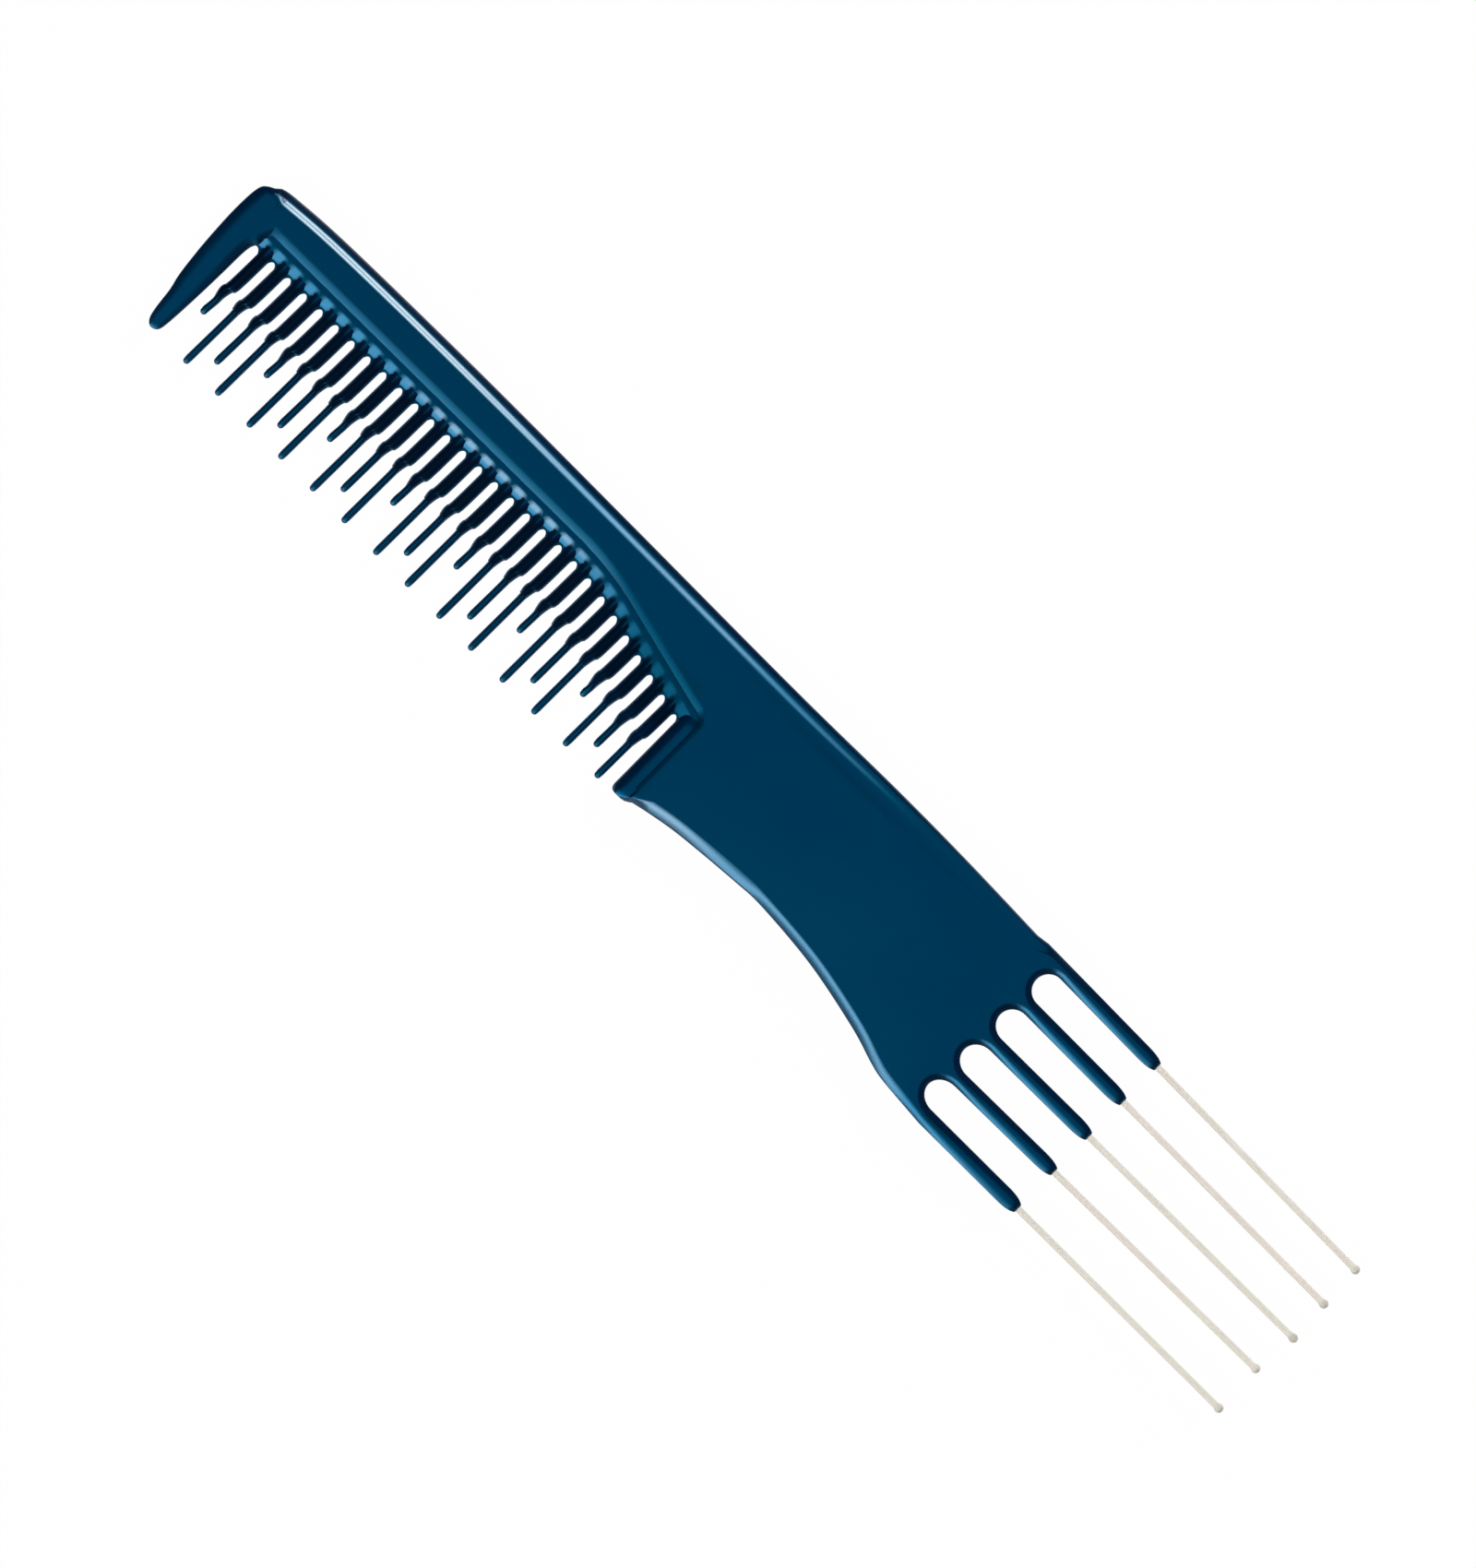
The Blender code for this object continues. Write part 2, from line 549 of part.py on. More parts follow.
def heel_guard(parent):
    """Makes the recessed guard strip that closes the tooth row at the heel."""
    end = HEEL + HEEL_GUARD_OVERLAP
    full = end - HEEL_GUARD_START
    places = [(ledge_y(HEEL) + HEEL_GUARD_OVERLAP, HEEL_GUARD_START, end)]
    for along, left, right in HEEL_GUARD_TIP_SHARES:
        y = -along * HEEL_GUARD_LENGTH
        places.append((y, HEEL_GUARD_START + left * full, HEEL_GUARD_START + right * full))
    sections = []
    for y, left, right in places:
        thick = BAND_THICKNESS / 2 * (right - left) / full
        sections.append((Vector(((left + right) / 2, y, 0.0)), Vector(((right - left) / 2, 0.0, 0.0)),
                         Vector((0.0, 0.0, thick))))
    bm = bmesh.new()
    add_oval_loft(bm, sections, TOOTH_SIDES * 2)
    return form_only(mesh_object("heel_guard_form", bm, parent))


def form_only(piece):
    """Marks an object as a form that others are joined to or cut by, and returns it."""
    piece.hide_render = True
    piece.display_type = "WIRE"
    return piece


def shank_sections(clearance):
    """Returns the sections of a tine's anchor and the start of its shank, grown by a clearance."""
    radius = TINE_DIAMETER / 2 + clearance
    width = ANCHOR_WIDTH_SHARE * TINE_DIAMETER / 2 + clearance
    height = ANCHOR_HEIGHT_SHARE * TINE_DIAMETER / 2 + clearance
    taper = ANCHOR_TAPER_SHARE * TINE_DIAMETER
    return [
        (-clearance, width, height - taper / 2),
        (taper - clearance, width, height),
        (ANCHOR_LENGTH - taper, width, height),
        (ANCHOR_LENGTH + clearance, radius, radius),
    ]


def ball_sections(length):
    """Returns the sections of a tine's ball tip, from where the wire enters it."""
    wire = TINE_DIAMETER / 2
    radius = TINE_BALL_DIAMETER_SHARE * wire
    centre = length - radius
    entry = math.acos(wire / radius)
    sections = [(centre - radius * math.sin(entry), wire, wire)]
    for share in BALL_TURN_SHARES:
        angle = share * RIGHT_ANGLE
        size = radius * math.cos(angle)
        sections.append((centre + radius * math.sin(angle), size, size))
    blunt = BALL_END_SHARE * radius
    return sections + [(length, blunt, blunt)]


def rod(name, sections, parent):
    """Makes a rod along its own x axis through sections of a place, a half width and a half height."""
    bm = bmesh.new()
    add_oval_loft(bm, [(Vector((x, 0.0, 0.0)), Vector((0.0, width, 0.0)), Vector((0.0, 0.0, height)))
                       for x, width, height in sections], TINE_SIDES)
    return mesh_object(name, bm, parent)


def set_in_finger(piece, index):
    """Places a rod on the middle line of a finger, with its buried end past the fork's root."""
    start = FORK_ROOT - TINE_BURIAL
    piece.location = (start, finger_y(index, start), 0.0)
    piece.rotation_euler = (0.0, 0.0, -FINGER_LEANS[index])


def lift_tine(index, parent):
    """Makes one steel lift tine with its anchor, shank and ball tip."""
    start = FORK_ROOT - TINE_BURIAL
    reach = (OVERALL_LENGTH - TINE_SETBACKS[index] - start) / math.cos(FINGER_LEANS[index])
    piece = rod(f"lift_tine_{index + 1}", shank_sections(0.0) + ball_sections(reach), parent)
    set_in_finger(piece, index)
    return piece


def tine_bore(index, parent):
    """Makes the pocket that a tine's anchor and shank stand in, open at the finger's nose."""
    through = BODY_LENGTH - FORK_ROOT + TINE_BURIAL + NOSE_LENGTH
    radius = TINE_DIAMETER / 2 + BORE_CLEARANCE
    sections = shank_sections(BORE_CLEARANCE) + [(through, radius, radius)]
    piece = rod(f"tine_bore_{index + 1}", sections, parent)
    set_in_finger(piece, index)
    return form_only(piece)


def apply_boolean(piece, operation, forms):
    """Joins a piece with its forms, or cuts it by them."""
    for form in forms:
        modifier = piece.modifiers.new(form.name, "BOOLEAN")
        modifier.operation = operation
        modifier.solver = "EXACT"
        modifier.object = form


def material(name, colour, roughness, metallic):
    """Makes a material from a linear colour, a roughness and a metallic value."""
    finish = bpy.data.materials.new(name)
    finish.use_nodes = True
    shader = finish.node_tree.nodes["Principled BSDF"]
    shader.inputs["Base Color"].default_value = (*colour, 1.0)
    shader.inputs["Roughness"].default_value = roughness
    shader.inputs["Metallic"].default_value = metallic
    finish.diffuse_color = (*colour, 1.0)
    return finish


def stand_over_origin(comb, pieces):
    """Moves the comb so that the middle of its box's underside is at the origin."""
    bpy.context.view_layer.update()
    depsgraph = bpy.context.evaluated_depsgraph_get()
    corners = []
    for piece in pieces:
        evaluated = piece.evaluated_get(depsgraph)
        corners += [evaluated.matrix_world @ vertex.co for vertex in evaluated.data.vertices]
    low = Vector(min(corner[axis] for corner in corners) for axis in range(3))
    high = Vector(max(corner[axis] for corner in corners) for axis in range(3))
    middle = (low + high) / 2
    comb.location = (-middle.x, -middle.y, -low.z)
    bpy.context.view_layer.update()


def build_comb():
    """Builds the comb's body and its five lift tines."""
    for old in list(bpy.data.objects):
        bpy.data.objects.remove(old, do_unlink=True)
    comb = bpy.data.objects.new("comb", None)
    bpy.context.scene.collection.objects.link(comb)

    plastic = material("moulded_plastic", *PLASTIC_FINISH)
    steel = material("tine_steel", *STEEL_FINISH)

    body = body_plate(comb)
    apply_boolean(body, "UNION", [tooth_band(comb), heel_guard(comb), tooth_row(comb)])
    apply_boolean(body, "DIFFERENCE", [tine_bore(index, comb) for index in range(FINGER_COUNT)])
    body.data.materials.append(plastic)

    tines = [lift_tine(index, comb) for index in range(FINGER_COUNT)]
    for tine in tines:
        tine.data.materials.append(steel)
    stand_over_origin(comb, [body] + tines)


build_comb()
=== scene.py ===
"""Studio picture of a backcombing comb with a five-tined lift fork.

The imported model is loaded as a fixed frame. The moulded body and the five lift tines are made again around it
with finer edges and finishes, and lie on a pale floor under soft lamps, seen from straight above.

Metres throughout. While a piece is shaped, x runs along the comb from the end guard's outer side, y is
measured from the crest of the spine and z from the middle plane. A Datum moves the finished piece into the
row frame.
"""
import logging
import math
from collections.abc import Iterable, Sequence
from dataclasses import dataclass, field
from enum import Enum

import bmesh
import bpy
from mathutils import Matrix, Vector


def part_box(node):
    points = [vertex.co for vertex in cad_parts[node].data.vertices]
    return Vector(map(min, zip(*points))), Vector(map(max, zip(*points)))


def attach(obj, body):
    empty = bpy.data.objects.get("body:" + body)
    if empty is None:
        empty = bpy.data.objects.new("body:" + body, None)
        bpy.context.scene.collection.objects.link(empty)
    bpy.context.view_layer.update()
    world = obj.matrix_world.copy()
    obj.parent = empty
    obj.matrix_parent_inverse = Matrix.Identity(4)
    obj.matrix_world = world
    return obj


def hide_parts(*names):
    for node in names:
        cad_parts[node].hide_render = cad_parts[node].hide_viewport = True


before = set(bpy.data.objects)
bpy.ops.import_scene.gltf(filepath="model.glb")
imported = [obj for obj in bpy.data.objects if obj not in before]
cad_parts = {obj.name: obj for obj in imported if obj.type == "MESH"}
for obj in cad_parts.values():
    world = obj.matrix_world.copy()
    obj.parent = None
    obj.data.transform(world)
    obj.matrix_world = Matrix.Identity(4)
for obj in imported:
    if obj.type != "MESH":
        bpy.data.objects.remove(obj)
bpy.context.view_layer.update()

log = logging.getLogger("comb")

RIGHT_ANGLE = math.pi / 2
SHARP_ANGLE = RIGHT_ANGLE / 3
WELD_DISTANCE = 0.000002
MATRIX_SIZE = 4
# A noise's middle, the part of its range that patterns use, and the share of the coarser of two noises
NOISE_MIDDLE = 0.5
PATTERN_START, PATTERN_END = 0.3, 0.7
COARSE_SHARE = 0.7
# The Mix node's colour sockets, which share their names with its other sockets
FIRST_COLOUR, SECOND_COLOUR, MIXED_COLOUR = 6, 7, 2
UP = Vector((0.0, 0.0, 1.0))
ALONG = Vector((1.0, 0.0, 0.0))
BACK = Vector((0.0, 1.0, 0.0))

Row = tuple[float, ...]
Span = tuple[float, float]


def mix(start: float, end: float, share: float) -> float:
    """Returns the value at a share of the way from start to end."""
    return start + (end - start) * share


def spread(start: float, end: float, steps: int) -> list[float]:
    """Returns evenly spaced values from start to end, both included."""
    return [mix(start, end, step / steps) for step in range(steps + 1)]


def smooth_share(value: float, start: float, end: float) -> float:
    """Returns 0 before start and 1 after end, with a smooth rise between them."""
    share = min(max((value - start) / (end - start), 0.0), 1.0)
    return share * share * (3 - 2 * share)


def smooth_line(points: Sequence[Row], steps: int) -> list[Row]:
    """Runs a smooth line through rows of numbers.

    Args:
        points: The rows that the line passes through.
        steps: How many steps lie between two neighbouring rows.

    Returns:
        The rows of the line, the first and the last point included.
    """
    line = []
    for index in range(len(points) - 1):
        before = points[max(index - 1, 0)]
        start, end = points[index], points[index + 1]
        after = points[min(index + 2, len(points) - 1)]
        for step in range(steps):
            t = step / steps
            row = []
            for a, b, c, d in zip(before, start, end, after):
                curve = (2 * a - 5 * b + 4 * c - d) * t ** 2 + (3 * b - a - 3 * c + d) * t ** 3
                row.append(b + ((c - a) * t + curve) / 2)
            line.append(tuple(row))
    return line + [tuple(points[-1])]


def closed_ring(bm: bmesh.types.BMesh, places: Iterable[Vector]) -> list[bmesh.types.BMVert]:
    """Adds a closed ring of vertices with the edges between them.

    Args:
        bm: The mesh that the ring is added to.
        places: The places of its vertices, in order.

    Returns:
        The vertices, in the same order.
    """
    ring = [bm.verts.new(place) for place in places]
    for index in range(len(ring)):
        bm.edges.new((ring[index - 1], ring[index]))
    return ring


def ring_edges(bm: bmesh.types.BMesh, ring: Sequence[bmesh.types.BMVert]) -> list[bmesh.types.BMEdge]:
    """Returns the edges of a closed ring of vertices."""
    return [bm.edges.get((ring[index - 1], ring[index])) for index in range(len(ring))]


def extruded_ring(bm: bmesh.types.BMesh, ring: Sequence[bmesh.types.BMVert],
                  places: Iterable[Vector]) -> list[bmesh.types.BMVert]:
    """Extrudes a closed ring and moves each new vertex to its place.

    Args:
        bm: The mesh that holds the ring.
        ring: The vertices of the ring, in order.
        places: Where the copies of the vertices go, in the same order.

    Returns:
        The new ring, in the same order.
    """
    grown = bmesh.ops.extrude_edge_only(bm, edges=ring_edges(bm, ring))["geom"]
    new = {item for item in grown if isinstance(item, bmesh.types.BMVert)}
    following = []
    for vertex, place in zip(ring, places):
        copy = next(edge.other_vert(vertex) for edge in vertex.link_edges if edge.other_vert(vertex) in new)
        copy.co = place
        following.append(copy)
    return following


def cut_across(bm: bmesh.types.BMesh, places: Iterable[float], axis: Vector, reach: float) -> None:
    """Cuts the faces of a mesh across an axis.

    Args:
        bm: The mesh.
        places: Where the cuts lie on the axis.
        axis: The direction that the cuts stand across.
        reach: The place along x up to which faces are cut.
    """
    for place in places:
        part = [face for face in bm.faces if face.calc_center_bounds().x < reach]
        edges = dict.fromkeys(edge for face in part for edge in face.edges)
        vertices = dict.fromkeys(vertex for face in part for vertex in face.verts)
        bmesh.ops.bisect_plane(bm, geom=[*vertices, *edges, *part], dist=WELD_DISTANCE,
                               plane_co=axis * place, plane_no=axis)


@dataclass(frozen=True)
class Section:
    """One cross-section of a loft: its centre, its half sizes and how square or peaked it is."""

    centre: Vector
    across: Vector
    rise: Vector
    fullness: float = 2.0

    def ring(self, bm: bmesh.types.BMesh, sides: int) -> list[bmesh.types.BMEdge]:
        """Adds the section as a closed ring.

        Args:
            bm: The mesh that the ring is added to.
            sides: The number of its vertices.

        Returns:
            The edges of the ring.
        """
        vertices = bmesh.ops.create_circle(bm, cap_ends=False, segments=sides, radius=1.0)["verts"]
        power = 2.0 / self.fullness
        for vertex in vertices:
            a, b = (math.copysign(abs(share) ** power, share) for share in vertex.co.xy)
            vertex.co = self.centre + self.across * a + self.rise * b
        return list(dict.fromkeys(edge for vertex in vertices for edge in vertex.link_edges))


def loft(bm: bmesh.types.BMesh, sections: Sequence[Section], sides: int) -> None:
    """Adds a closed body that runs through cross-sections.

    Args:
        bm: The mesh that the body is added to.
        sections: The cross-sections, from one end to the other.
        sides: The number of vertices round each of them.
    """
    rings = [section.ring(bm, sides) for section in sections]
    for first, second in zip(rings, rings[1:]):
        bmesh.ops.bridge_loops(bm, edges=first + second)
    for end in (rings[0], rings[-1]):
        bmesh.ops.edgeloop_fill(bm, edges=end)


@dataclass(frozen=True)
class Datum:
    """The place of the comb's own axes in the row frame."""

    left: float
    crest: float
    middle: float

    @classmethod
    def of_frame(cls) -> "Datum":
        """Reads the datum from the CAD body's box."""
        low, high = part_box("comb_body")
        return cls(left=low.x, crest=high.y, middle=(low.z + high.z) / 2)

    def shift(self) -> Vector:
        """Returns the move from the comb's own axes to the row frame."""
        return Vector((self.left, self.crest, self.middle))


class Maker:
    """Turns finished meshes into the scene's pieces."""

    def __init__(self, datum: Datum) -> None:
        """Keeps the datum that every piece is moved by."""
        self.datum = datum

    def form(self, name: str, bm: bmesh.types.BMesh) -> bpy.types.Object:
        """Makes an object of a mesh, still in the comb's own axes, with every face cut into triangles.

        Args:
            name: The object's name.
            bm: The finished mesh, which is freed.

        Returns:
            The new object.
        """
        bmesh.ops.triangulate(bm, faces=bm.faces)
        bmesh.ops.recalc_face_normals(bm, faces=bm.faces)
        mesh = bpy.data.meshes.new(name)
        bm.to_mesh(mesh)
        bm.free()
        shape = bpy.data.objects.new(name, mesh)
        bpy.context.scene.collection.objects.link(shape)
        return shape

    def joined(self, base: bpy.types.Object, added: Sequence[bpy.types.Object],
               cut: Sequence[bpy.types.Object]) -> bpy.types.Object:
        """Joins closed forms to a base, cuts others out of it and removes the forms.

        Args:
            base: The object that keeps its name.
            added: Forms that become part of it.
            cut: Forms that are taken out of it.

        Returns:
            The base, with its new mesh.
        """
        for operation, forms in (("UNION", added), ("DIFFERENCE", cut)):
            for form in forms:
                modifier = base.modifiers.new(form.name, "BOOLEAN")
                modifier.operation = operation
                modifier.solver = "MANIFOLD"
                modifier.object = form
        depsgraph = bpy.context.evaluated_depsgraph_get()
        mesh = bpy.data.meshes.new_from_object(base.evaluated_get(depsgraph))
        base.modifiers.clear()
        base.data = mesh
        mesh.name = base.name
        for form in (*added, *cut):
            bpy.data.objects.remove(form, do_unlink=True)
        return base

    def piece(self, shape: bpy.types.Object, material: bpy.types.Material, slot: str,
              *nodes: str) -> bpy.types.Object:
        """Moves a shape into the row frame, dresses it and binds it to the frame.

        Args:
            shape: The finished object, in the comb's own axes.
            material: Its finish.
            slot: The record's material slot, which is not used.
            *nodes: The CAD nodes that it stands for.

        Returns:
            The same object, as a piece of the scene.
        """
        mesh = shape.data
        mesh.transform(Matrix.Translation(self.datum.shift()))
        mesh.shade_smooth()
        mesh.set_sharp_from_angle(angle=SHARP_ANGLE)
        mesh.materials.clear()
        mesh.materials.append(material)
        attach(shape, "root")
        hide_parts(*nodes)
        log.info("%s: %d faces, stands for %s", shape.name, len(mesh.polygons), ", ".join(nodes))
        return shape


class ToothLength(Enum):
    """How far a tooth reaches past the roots of the gaps, in metres."""

    SHORT = 0.0115
    MEDIUM = 0.0148
    LONG = 0.01755


@dataclass(frozen=True)
class Rim:
    """A point of the moulding's outline, with the shape of the edge there.

    roundover is the width of the edge. Its shoulder is the share of the height at which a wall ends and a
    slope begins, and power says how much the slope flattens towards the face. bead says how much of the
    spine's bead the edge has, crown how far inward the bead's top lies, and drop how far the bead falls to
    its foot.
    """

    x: float
    y: float
    roundover: float
    shoulder: float
    power: float = 1.35
    bead: float = 0.0
    crown: float = 0.0005
    drop: float = 0.0


@dataclass(frozen=True)
class Layout:
    """The lines that the parts of the comb share: lengths, thicknesses and the lines of the tooth row."""

    heel: float = 0.0898
    fork_root: float = 0.1433
    body_length: float = 0.1624
    overall_length: float = 0.2000
    fork_depth: float = 0.02918
    spine_half: float = 0.0020
    web_half: float = 0.0014
    guard_width: float = 0.00465
    diagonal: float = math.radians(14.2)
    ledge_depth: float = 0.0063
    ledge_turn: float = 0.0228
    ledge_turn_length: float = 0.0100
    root_depth: float = 0.0083
    root_turn: float = 0.0238
    root_turn_length: float = 0.0120
    step_depth: float = 0.0158
    step_turn: float = 0.0200
    step_turn_length: float = 0.0100

    def turned_down(self, x: float, to_heel: float, span: float) -> float:
        """Works out how far a line that turns down before the heel has fallen.

        Args:
            x: The place along the comb.
            to_heel: How far before the heel the line turns down.
            span: The length of the bend.

        Returns:
            The fall, which is 0 before the bend and runs along the diagonal after it.
        """
        bend = self.heel - to_heel
        start = bend - span / 2
        if x <= start:
            run = 0.0
        elif x < start + span:
            run = (x - start) ** 2 / (2 * span)
        else:
            run = x - bend
        return run * math.tan(self.diagonal)

    def ledge_y(self, x: float) -> float:
        """Returns the foot of the ledge, where the web ends, at x."""
        return -self.ledge_depth - self.turned_down(x, self.ledge_turn, self.ledge_turn_length)

    def root_y(self, x: float) -> float:
        """Returns the root of the gaps between the teeth at x."""
        return -self.root_depth - self.turned_down(x, self.root_turn, self.root_turn_length)

    def step_y(self, x: float) -> float:
        """Returns the middle of a tooth's step at x."""
        return -self.step_depth - self.turned_down(x, self.step_turn, self.step_turn_length)


@dataclass(frozen=True)
class Spine:
    """The curved back of the comb, with the bead that fades out along the handle."""

    layout: Layout
    bow: float = 0.0012
    # Shares of the length up to the fork, of the bow and of the bead's drop
    line_shares: tuple[Row, ...] = (
        (0.018, 0.87, 1.0), (0.035, 0.54, 1.0), (0.10, 0.14, 1.0), (0.26, 0.003, 0.96), (0.45, 0.21, 0.80),
        (0.66, 0.51, 0.70), (0.79, 0.44, 0.42), (0.88, 0.60, 0.15), (0.973, 1.0, 0.0),
    )
    bead_drop: float = 0.00062
    bead_start: float = 0.0012
    bead_full: float = 0.0042
    crown_inset: float = 0.00075
    end_inset: float = 0.00035
    fade_start: float = 0.0950
    fade_end: float = 0.1300
    steps: int = 9

    def rims(self, guard: "EndGuard") -> list[Rim]:
        """Draws the outline from the end guard to the fork.

        Args:
            guard: The end guard, out of whose edge the bead grows.

        Returns:
            The points of the outline.
        """
        points = [(along * self.layout.fork_root, -fall * self.bow, drop * self.bead_drop)
                  for along, fall, drop in self.line_shares]
        rims = []
        for x, y, drop in smooth_line(points, self.steps):
            crown = mix(self.crown_inset, self.end_inset, smooth_share(x, self.fade_start, self.fade_end))
            bead = smooth_share(x, self.bead_start, self.bead_full)
            rims.append(Rim(x, y, guard.roundover, guard.shoulder, guard.power, bead, crown, max(drop, 0.0)))
        return rims


@dataclass(frozen=True)
class EndGuard:
    """The broad guard that closes the tooth row at the free end."""

    layout: Layout
    length: float = 0.0256
    roundover: float = 0.0013
    shoulder: float = 0.72
    power: float = 1.9
    swell: float = 0.00011
    swell_start: float = 0.0042
    swell_full: float = 0.0031
    # Shares of the width, of the depth between two of the guard's lines, and of the roundover
    corner_shares: tuple[Row, ...] = ((1.16, 0.55, 1.0), (1.17, 0.93, 1.0))
    inner_shares: tuple[Row, ...] = (
        (1.05, 0.045, 1.0), (1.0, 0.13, 1.05), (0.985, 0.33, 1.1), (0.96, 0.55, 1.05), (0.92, 0.775, 0.85),
        (0.87, 0.93, 0.62), (0.79, 0.982, 0.6), (0.64, 1.0, 0.6), (0.51, 0.985, 0.6), (0.41, 0.94, 0.62),
        (0.345, 0.85, 0.75), (0.28, 0.70, 1.0), (0.18, 0.58, 1.2), (0.11, 0.43, 1.35), (0.05, 0.25, 1.4),
    )
    top_shares: tuple[Row, ...] = (
        (0.003, 0.97, 1.4), (0.017, 0.56, 1.4), (0.08, 0.345, 1.2), (0.22, 0.255, 1.0), (0.40, 0.20, 1.0),
    )
    steps: int = 4

    @property
    def end(self) -> float:
        """The place along the comb where the guard ends and the web begins."""
        return self.layout.guard_width * self.corner_shares[-1][0]

    def rims(self) -> list[Rim]:
        """Draws the outline down the inner side, round the tip and up the outer side.

        Returns:
            The points of the outline.
        """
        root, top = self.layout.root_depth, self.layout.ledge_depth
        points = [(across, mix(top, root, along), edge) for across, along, edge in self.corner_shares]
        points += [(across, mix(root, self.length, along), edge) for across, along, edge in self.inner_shares]
        points += [(across, root * along, edge) for across, along, edge in self.top_shares]
        width = self.layout.guard_width
        return [Rim(across * width, -depth, edge * self.roundover, self.shoulder, self.power)
                for across, depth, edge in smooth_line(points, self.steps)]


@dataclass(frozen=True)
class LiftFork:
    """The five round fingers that carry the tines, and the slots between them."""

    layout: Layout
    count: int = 5
    finger_width: float = 0.0021
    last_extra: float = 0.00024
    first: float = 0.00205
    last: float = 0.028008
    leans: tuple[float, ...] = tuple(math.radians(degrees) for degrees in (1.1, 0.6, 0.0, -0.3, 0.2))
    fullness: float = 0.93
    shoulder: float = 0.68
    power: float = 1.6
    nose_length: float = 0.0024
    nose_half: float = 0.00060
    # Shares of the nose's length, and how far it has narrowed there
    nose_shares: tuple[Row, ...] = (
        (0.25, 0.05), (0.50, 0.17), (0.66, 0.32), (0.78, 0.50), (0.87, 0.67), (0.94, 0.84), (0.98, 0.95),
    )
    slot_lean: float = 0.00015
    slot_steps: int = 16
    side_steps: int = 5
    blend_steps: int = 10

    @property
    def pitch(self) -> float:
        """The distance between neighbouring fingers at the fork's root."""
        return (self.last - self.first) / (self.count - 1)

    @property
    def slot_start(self) -> float:
        """The place where the round root of a slot ends and its straight sides begin."""
        return self.layout.fork_root + (self.pitch - self.finger_width) / 2

    def middle_y(self, index: int, x: float) -> float:
        """Returns the middle line of a finger at x."""
        root = -self.first - index * self.pitch
        return root - math.tan(self.leans[index]) * (x - self.layout.fork_root)

    def half_width(self, index: int) -> float:
        """Returns half the width of a finger; the last one is a little stouter."""
        extra = self.last_extra if index == self.count - 1 else 0.0
        return (self.finger_width + extra) / 2

    def narrowing(self, x: float) -> float:
        """Works out how far a finger's round nose has narrowed.

        Args:
            x: The place along the comb.

        Returns:
            The share, from 0 at the nose's start to 1 at its end.
        """
        along = (x - self.layout.body_length + self.nose_length) / self.nose_length
        rows = ((0.0, 0.0), *self.nose_shares, (1.0, 1.0))
        for (start, low), (end, high) in zip(rows, rows[1:]):
            if along <= end:
                return mix(low, high, max(along - start, 0.0) / (end - start))
        return 1.0

    def finger_rims(self, index: int) -> list[Rim]:
        """Draws one finger, out along its upper side, round its nose and back.

        Args:
            index: The finger, from 0 under the spine.

        Returns:
            The points of the outline.
        """
        half = self.half_width(index)
        nose_start = self.layout.body_length - self.nose_length
        side = [(x, half) for x in spread(self.slot_start, nose_start, self.side_steps)]
        for along, narrowing in self.nose_shares:
            side.append((nose_start + along * self.nose_length, mix(half, self.nose_half, narrowing)))
        side.append((self.layout.body_length, self.nose_half / 2))
        rims = []
        for sign, places in ((1, side), (-1, side[::-1])):
            for x, reach in places:
                y = self.middle_y(index, x) + sign * reach
                rims.append(Rim(x, y, self.fullness * reach, self.shoulder, self.power))
        return rims

    def slot_rims(self, index: int) -> list[Rim]:
        """Draws the rounded root of the slot under a finger.

        Args:
            index: The finger, from 0 under the spine.

        Returns:
            The points of the outline.
        """
        root = self.layout.fork_root - index * self.slot_lean
        start = self.slot_start
        top = self.middle_y(index, start) - self.half_width(index)
        bottom = self.middle_y(index + 1, start) + self.half_width(index + 1)
        rims = []
        for step in range(1, self.slot_steps):
            angle = math.pi * step / self.slot_steps
            x = start - (start - root) * math.sin(angle)
            y = mix(bottom, top, (1 + math.cos(angle)) / 2)
            rims.append(Rim(x, y, self.fullness * self.finger_width / 2, self.shoulder, self.power))
        return rims

    def rims(self, spine: Spine) -> list[Rim]:
        """Draws the outline from the spine's end round every finger.

        Args:
            spine: The spine, whose bead ends in the first finger.

        Returns:
            The points of the outline.
        """
        half = self.half_width(0)
        start = self.layout.fork_root - self.finger_width
        rims = []
        for x in spread(start, self.slot_start, self.blend_steps)[:-1]:
            bead = 1 - smooth_share(x, start - self.finger_width, self.layout.fork_root)
            rims.append(Rim(x, self.middle_y(0, x) + half, self.fullness * half, self.shoulder, self.power,
                            bead, spine.end_inset))
        for index in range(self.count):
            rims += self.finger_rims(index)
            if index < self.count - 1:
                rims += self.slot_rims(index)
        return rims


